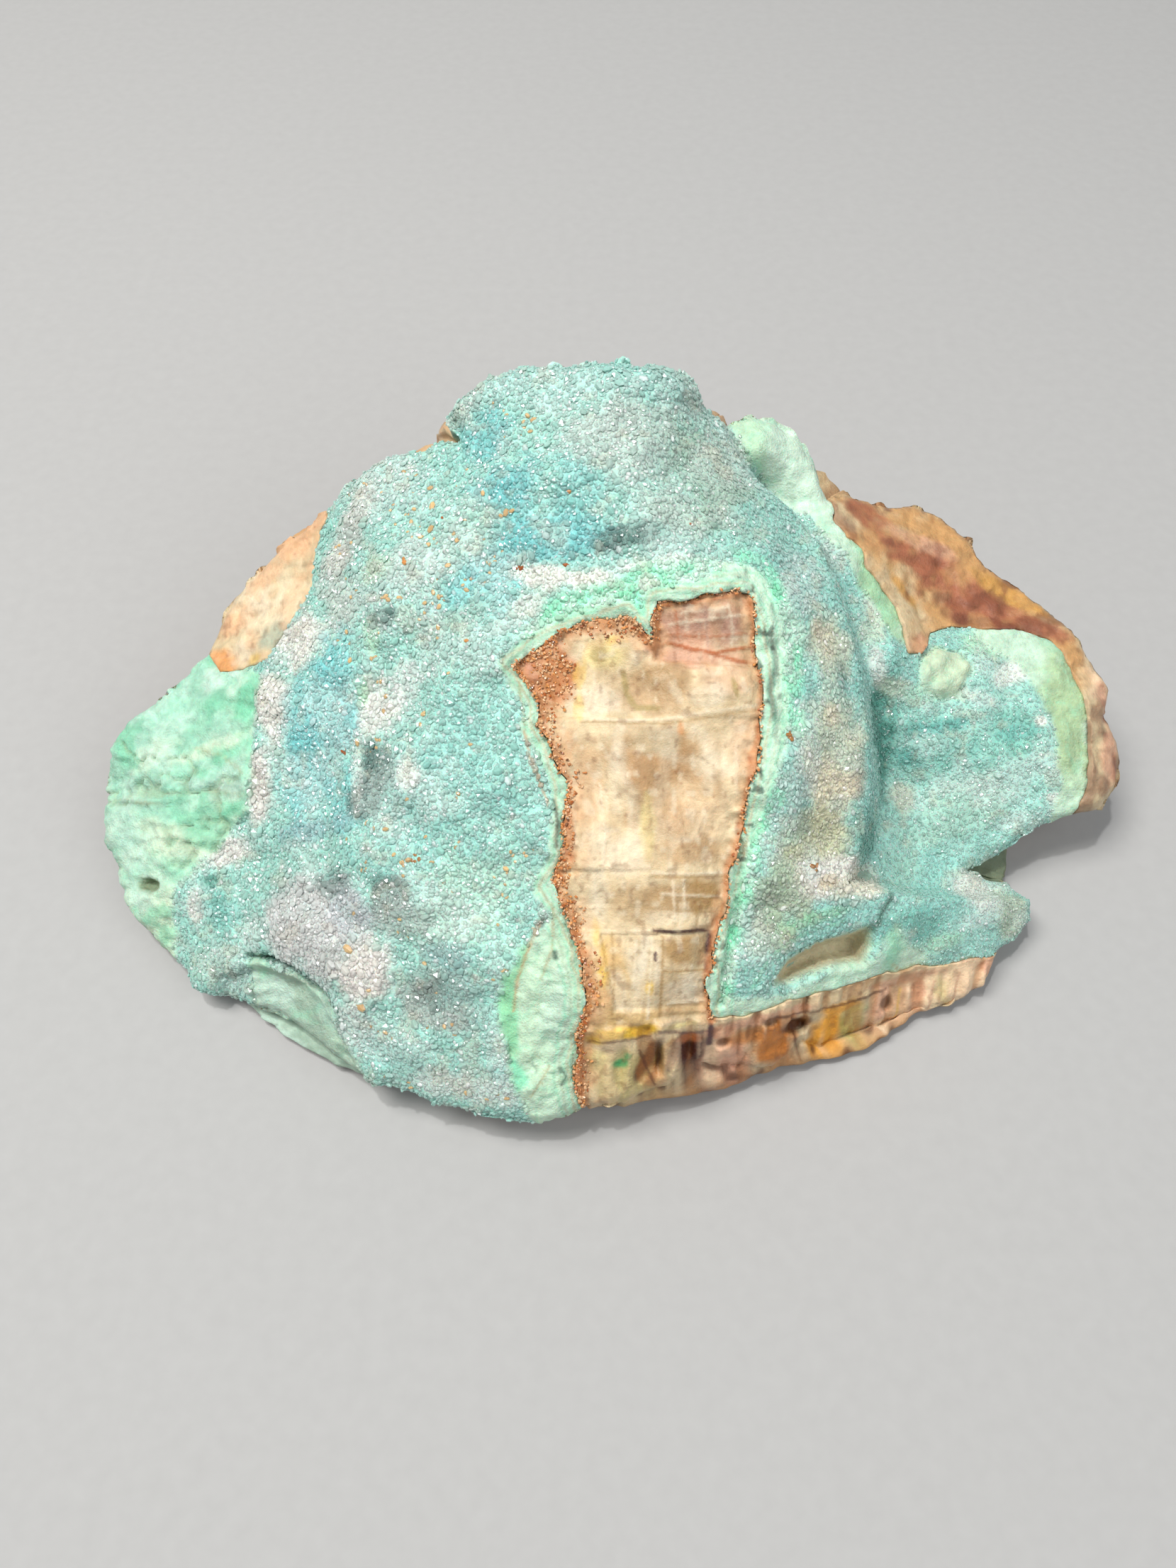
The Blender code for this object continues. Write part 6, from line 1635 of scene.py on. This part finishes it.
def grow_druse(points, layout, colour, chalk):
    """The crystals of the druse, large ones first; the finest are two objects, left and right."""
    where, triangles = layout.top, layout.top_triangles
    rows = points[triangles]
    normals = np.cross(rows[:, 1] - rows[:, 0], rows[:, 2] - rows[:, 0])
    normals /= np.linalg.norm(normals, axis=1)[:, None]
    bare = np.clip(1.0 - 1.25 * chalk, 0.0, 1.0)
    made = []
    for number, (name, cell, smallest, largest, longest, roughness) in enumerate(CRYSTALS):
        chance = np.random.default_rng(SEED + 200 + number)
        crowded = bare * (1.0 if number else 0.25 + 0.75 * clump_share(where))
        picked, shares = scattered(points, triangles, crowded, cell, SEED + 210 + number)
        corner = triangles[picked]
        place, local, flat_place = (
            (values[corner] * shares[:, :, None]).sum(axis=1) for values in (points, colour, where)
        )
        axis = normals[picked] + TILT * chance.normal(0.0, 0.5, (len(picked), 3))
        axis /= np.linalg.norm(axis, axis=1)[:, None]
        size = chance.uniform(smallest, largest, len(picked))
        size *= 1.0 + 0.15 * clump_share(flat_place) - 0.25 * smooth_step(flat_place[:, 0], 16.0, 19.0)
        length = size * longest * chance.uniform(0.55, 1.0, len(picked))
        turn = chance.uniform(0.0, 2.0 * math.pi, len(picked))
        tinted = crystal_colours(local, chance)
        stained_ones = stain_share(flat_place) > chance.random(len(flat_place))
        tinted[stained_ones] = COLOURS["stain"] * chance.uniform(0.8, 1.1, (int(stained_ones.sum()), 1))
        for u, v, reach, rusty in SPECKS:
            near = np.linalg.norm(flat_place - (u, v), axis=1) < reach
            tinted[near] = COLOURS[rusty] * chance.uniform(0.7, 0.9, (int(near.sum()), 1))
        place -= SINK * length[:, None] * axis
        shapes = blades(place, axis, size, length, turn)
        finish = crystal_finish("hemimorphite_" + name, roughness)
        parts = {name: np.full(len(picked), True)}
        if name == "druse_fine":
            on_left = flat_place[:, 0] < np.median(flat_place[:, 0])
            parts = {name + "_left": on_left, name + "_right": ~on_left}
        made += [add_blades(part, shapes[here], tinted[here], finish) for part, here in parts.items()]
    return made


def rim_places(chance):
    """Places of the grains: along the edge of the window, most on its left, and in its rusty corner."""
    path = np.array(divided(WINDOW_EDGE, GRAIN_STEP))
    along = np.roll(path, -1, axis=0) - path
    along[-1] = along[-2]
    inward = np.column_stack([-along[:, 1], along[:, 0]]) / np.linalg.norm(along, axis=1)[:, None]
    where = roughened(np.repeat(path, GRAINS_ABREAST, axis=0))
    left = 1.0 - smooth_step(where[:, 0], 2.0, 6.0)
    reach = (0.25 + 0.75 * left) * (0.6 + 0.6 * noise(flat(where), 1.6, SEED + 109))
    shift = chance.uniform(0.0, 1.0, len(where)) ** 1.6 * 1.4 * reach - 0.04
    where += np.repeat(inward, GRAINS_ABREAST, axis=0) * shift[:, None]
    where += chance.normal(0.0, 0.05, where.shape)
    where = where[chance.random(len(where)) < 0.3 + 0.7 * left]
    u, v, half_u, half_v, _ = RUSTY_CORNER
    corner = chance.uniform(-1.3, 1.3, (CORNER_GRAINS, 2)) * (half_u, half_v) + (u, v)
    reach = patch_reach(corner, *RUSTY_CORNER) + 0.35 * ragged(corner, SEED + 142)
    corner = corner[inside(WINDOW_RING, corner) & (reach < chance.uniform(0.6, 1.2, len(corner)))]
    return np.vstack([where, corner])


def grow_rim():
    """Small iron-stained calcite grains round the edge of the window."""
    chance = np.random.default_rng(SEED + 230)
    where = rim_places(chance)
    place = to_world(where, bare_height(where))
    axis = chance.normal(0.0, 0.6, (len(where), 3)) + (0.0, -math.sin(FACE_TILT), math.cos(FACE_TILT))
    axis /= np.linalg.norm(axis, axis=1)[:, None]
    size = chance.uniform(*GRAIN_SIZE, len(where))
    turn = chance.uniform(0.0, 2.0 * math.pi, len(where))
    shapes = blades(place, axis, size, size * chance.uniform(0.8, 1.2, len(where)), turn)
    picked = chance.choice(list(GRAIN_COLOURS), len(where), p=list(GRAIN_COLOURS.values()))
    colours = np.array([COLOURS[name] for name in picked]) * chance.uniform(0.7, 0.95, (len(where), 1))
    return add_blades("rim_grains", shapes, colours, grain_finish())


class Finish:
    """A node material, with short ways to add and link its nodes."""

    def __init__(self, name):
        self.material = bpy.data.materials.new(name)
        self.material.use_nodes = True
        self.nodes = self.material.node_tree.nodes
        self.links = self.material.node_tree.links
        self.shader = self.nodes["Principled BSDF"]
        self.place = self.nodes.new("ShaderNodeTexCoord").outputs["Object"]
        self.tint = self.attribute("Tint")

    def attribute(self, name):
        node = self.nodes.new("ShaderNodeAttribute")
        node.attribute_name = name
        return node.outputs["Color"] if name == "Tint" else node.outputs["Fac"]

    def set(self, **values):
        for name, value in values.items():
            self.shader.inputs[name.replace("_", " ")].default_value = value

    def noise(self, size, detail=3.0, roughness=0.55):
        """Noise from 0 to 1 whose lumps are this many millimetres."""
        node = self.nodes.new("ShaderNodeTexNoise")
        node.inputs["Scale"].default_value = 1.0 / (size * MM)
        node.inputs["Detail"].default_value = detail
        node.inputs["Roughness"].default_value = roughness
        self.links.new(self.place, node.inputs["Vector"])
        return node.outputs["Fac"]

    def cells(self, size):
        """Distance to the nearest of many grains this many millimetres apart."""
        node = self.nodes.new("ShaderNodeTexVoronoi")
        node.inputs["Scale"].default_value = 1.0 / (size * MM)
        self.links.new(self.place, node.inputs["Vector"])
        return node.outputs["Distance"]

    def ranged(self, value, low, high, to_low, to_high):
        node = self.nodes.new("ShaderNodeMapRange")
        for name, number in zip(("From Min", "From Max", "To Min", "To Max"), (low, high, to_low, to_high)):
            node.inputs[name].default_value = number
        self.links.new(value, node.inputs["Value"])
        return node.outputs["Result"]

    def scaled(self, colour, amount):
        """A colour made lighter or darker by a number near 1."""
        node = self.nodes.new("ShaderNodeVectorMath")
        node.operation = "SCALE"
        self.links.new(colour, node.inputs[0])
        self.links.new(amount, node.inputs["Scale"])
        return node.outputs["Vector"]

    def bump(self, height, depth, strength, normal=None):
        node = self.nodes.new("ShaderNodeBump")
        node.inputs["Strength"].default_value = strength
        node.inputs["Distance"].default_value = depth * MM
        self.links.new(height, node.inputs["Height"])
        if normal:
            self.links.new(normal, node.inputs["Normal"])
        return node.outputs["Normal"]

    def drive(self, name, value):
        self.links.new(value, self.shader.inputs[name])


def crust_finish():
    """Blue-green crust: finely granular, dull where it is chalky."""
    finish = Finish("druse_crust")
    mottle = finish.ranged(finish.noise(0.5, 4.0), 0.3, 0.7, 0.84, 1.12)
    finish.drive("Base Color", finish.scaled(finish.tint, mottle))
    finish.set(Subsurface_Weight=0.3, Subsurface_Scale=0.3 * MM)
    finish.drive("Roughness", finish.ranged(finish.attribute("Chalk"), 0.0, 1.0, 0.42, 0.82))
    coarse = finish.bump(finish.noise(0.35, 4.0, 0.65), 0.16, 0.8)
    finish.drive("Normal", finish.bump(finish.cells(0.16), 0.05, 0.5, coarse))
    return finish.material


def crystal_finish(name, roughness):
    """Hemimorphite crystals: glassy, pale and partly clear, the smallest ones frosted."""
    finish = Finish(name)
    mottle = finish.ranged(finish.noise(0.4, 2.0), 0.3, 0.7, 0.94, 1.06)
    finish.drive("Base Color", finish.scaled(finish.tint, mottle))
    finish.set(Roughness=roughness, IOR=1.61, Transmission_Weight=0.26)
    finish.set(Subsurface_Weight=0.6, Subsurface_Scale=0.25 * MM)
    finish.shader.inputs["Subsurface Radius"].default_value = (0.8, 1.0, 1.0)
    return finish.material


def calcite_finish():
    """Calcite stained by iron: waxy to glassy on its cleavage."""
    finish = Finish("stained_calcite")
    mottle = finish.ranged(finish.noise(0.7, 5.0, 0.6), 0.3, 0.7, 0.82, 1.14)
    finish.drive("Base Color", finish.scaled(finish.tint, mottle))
    finish.drive("Roughness", finish.ranged(finish.noise(1.6, 3.0), 0.35, 0.65, 0.36, 0.62))
    finish.drive("Normal", finish.bump(finish.noise(0.4, 5.0, 0.65), 0.16, 0.7))
    finish.set(IOR=1.5, Specular_IOR_Level=0.35, Subsurface_Weight=0.12, Subsurface_Scale=0.6 * MM)
    return finish.material


def grain_finish():
    """Iron-stained calcite grains."""
    finish = Finish("stained_grains")
    mottle = finish.ranged(finish.noise(0.2, 2.0), 0.3, 0.7, 0.85, 1.12)
    finish.drive("Base Color", finish.scaled(finish.tint, mottle))
    finish.set(Roughness=0.3, IOR=1.55, Transmission_Weight=0.15)
    return finish.material


def floor_finish():
    """Plain pale matt floor."""
    made = bpy.data.materials.new("floor")
    made.use_nodes = True
    nodes, links = made.node_tree.nodes, made.node_tree.links
    shader = nodes["Principled BSDF"]
    shader.inputs["Roughness"].default_value = 0.9
    grain = nodes.new("ShaderNodeTexNoise")
    grain.inputs["Scale"].default_value = FLOOR_GRAIN
    ramp = nodes.new("ShaderNodeValToRGB")
    for element, colour in zip(ramp.color_ramp.elements, FLOOR_COLOURS):
        element.color = (*colour, 1.0)
    links.new(nodes.new("ShaderNodeTexCoord").outputs["Object"], grain.inputs["Vector"])
    links.new(grain.outputs["Fac"], ramp.inputs["Fac"])
    links.new(ramp.outputs["Color"], shader.inputs["Base Color"])
    return made


def add_floor():
    """A square floor under the specimen."""
    mesh = bpy.data.meshes.new("floor")
    corner_signs = [(-1, -1), (1, -1), (1, 1), (-1, 1)]
    mesh.from_pydata([(FLOOR_HALF * x, FLOOR_HALF * y, 0.0) for x, y in corner_signs], [], [(0, 1, 2, 3)])
    mesh.materials.append(floor_finish())
    floor = bpy.data.objects.new("floor", mesh)
    bpy.context.scene.collection.objects.link(floor)
    return floor


def aimed(place, target):
    """The pose of a light or camera at a place, looking at a target."""
    place = Vector(place)
    turn = (Vector(target) - place).to_track_quat("-Z", "Y")
    return Matrix.Translation(place) @ turn.to_matrix().to_4x4()


def add_lights():
    """A soft key from the upper left, a small one for sparkle, a broad weak fill and a pale sky."""
    for name, place, size, power, colour in LIGHTS:
        data = bpy.data.lights.new(name, "AREA")
        data.shape = "DISK"
        data.size = size
        data.energy = power
        data.color = colour
        light = bpy.data.objects.new(name, data)
        light.matrix_world = aimed(place, LIGHT_TARGET)
        bpy.context.scene.collection.objects.link(light)
    world = bpy.data.worlds.new("sky")
    world.use_nodes = True
    sky = world.node_tree.nodes["Background"]
    sky.inputs["Color"].default_value = (*SKY_COLOUR, 1.0)
    sky.inputs["Strength"].default_value = SKY_STRENGTH
    bpy.context.scene.world = world


def add_camera():
    """The camera straight out from the leaning face, upright along its slope."""
    data = bpy.data.cameras.new("camera")
    data.lens = LENS
    data.sensor_width = SENSOR
    data.clip_start = NEAR_CLIP
    camera = bpy.data.objects.new("camera", data)
    up = Vector((0.0, math.cos(FACE_TILT), math.sin(FACE_TILT)))
    out = Vector((0.0, -math.sin(FACE_TILT), math.cos(FACE_TILT)))
    place = (Vector((-CENTRE_X, -CENTRE_Y, FACE_HEIGHT)) + out * EYE_DISTANCE) * MM
    turn = Matrix((Vector((1.0, 0.0, 0.0)), up, out)).transposed().to_4x4()
    camera.matrix_world = Matrix.Translation(place) @ turn
    bpy.context.scene.collection.objects.link(camera)
    bpy.context.scene.camera = camera


def corners(bounds):
    """The corners of a box as plain lists of numbers."""
    return [[float(number) for number in corner] for corner in bounds]


def main():
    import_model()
    cad_box = corners(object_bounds())
    layout = Layout()
    crust, points, colour, chalk = make_crust(layout)
    rock = make_rock(layout)
    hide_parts("druzy_crust")
    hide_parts("matrix")
    druse = [crust, *grow_druse(points, layout, colour, chalk)]
    stone = [rock, grow_rim()]
    for piece in druse + stone:
        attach(piece, "root")
    add_floor()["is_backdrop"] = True
    add_lights()
    add_camera()
    bpy.context.scene.view_settings.view_transform = "Standard"
    {"cad": cad_box, "visual": corners(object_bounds())}


main()
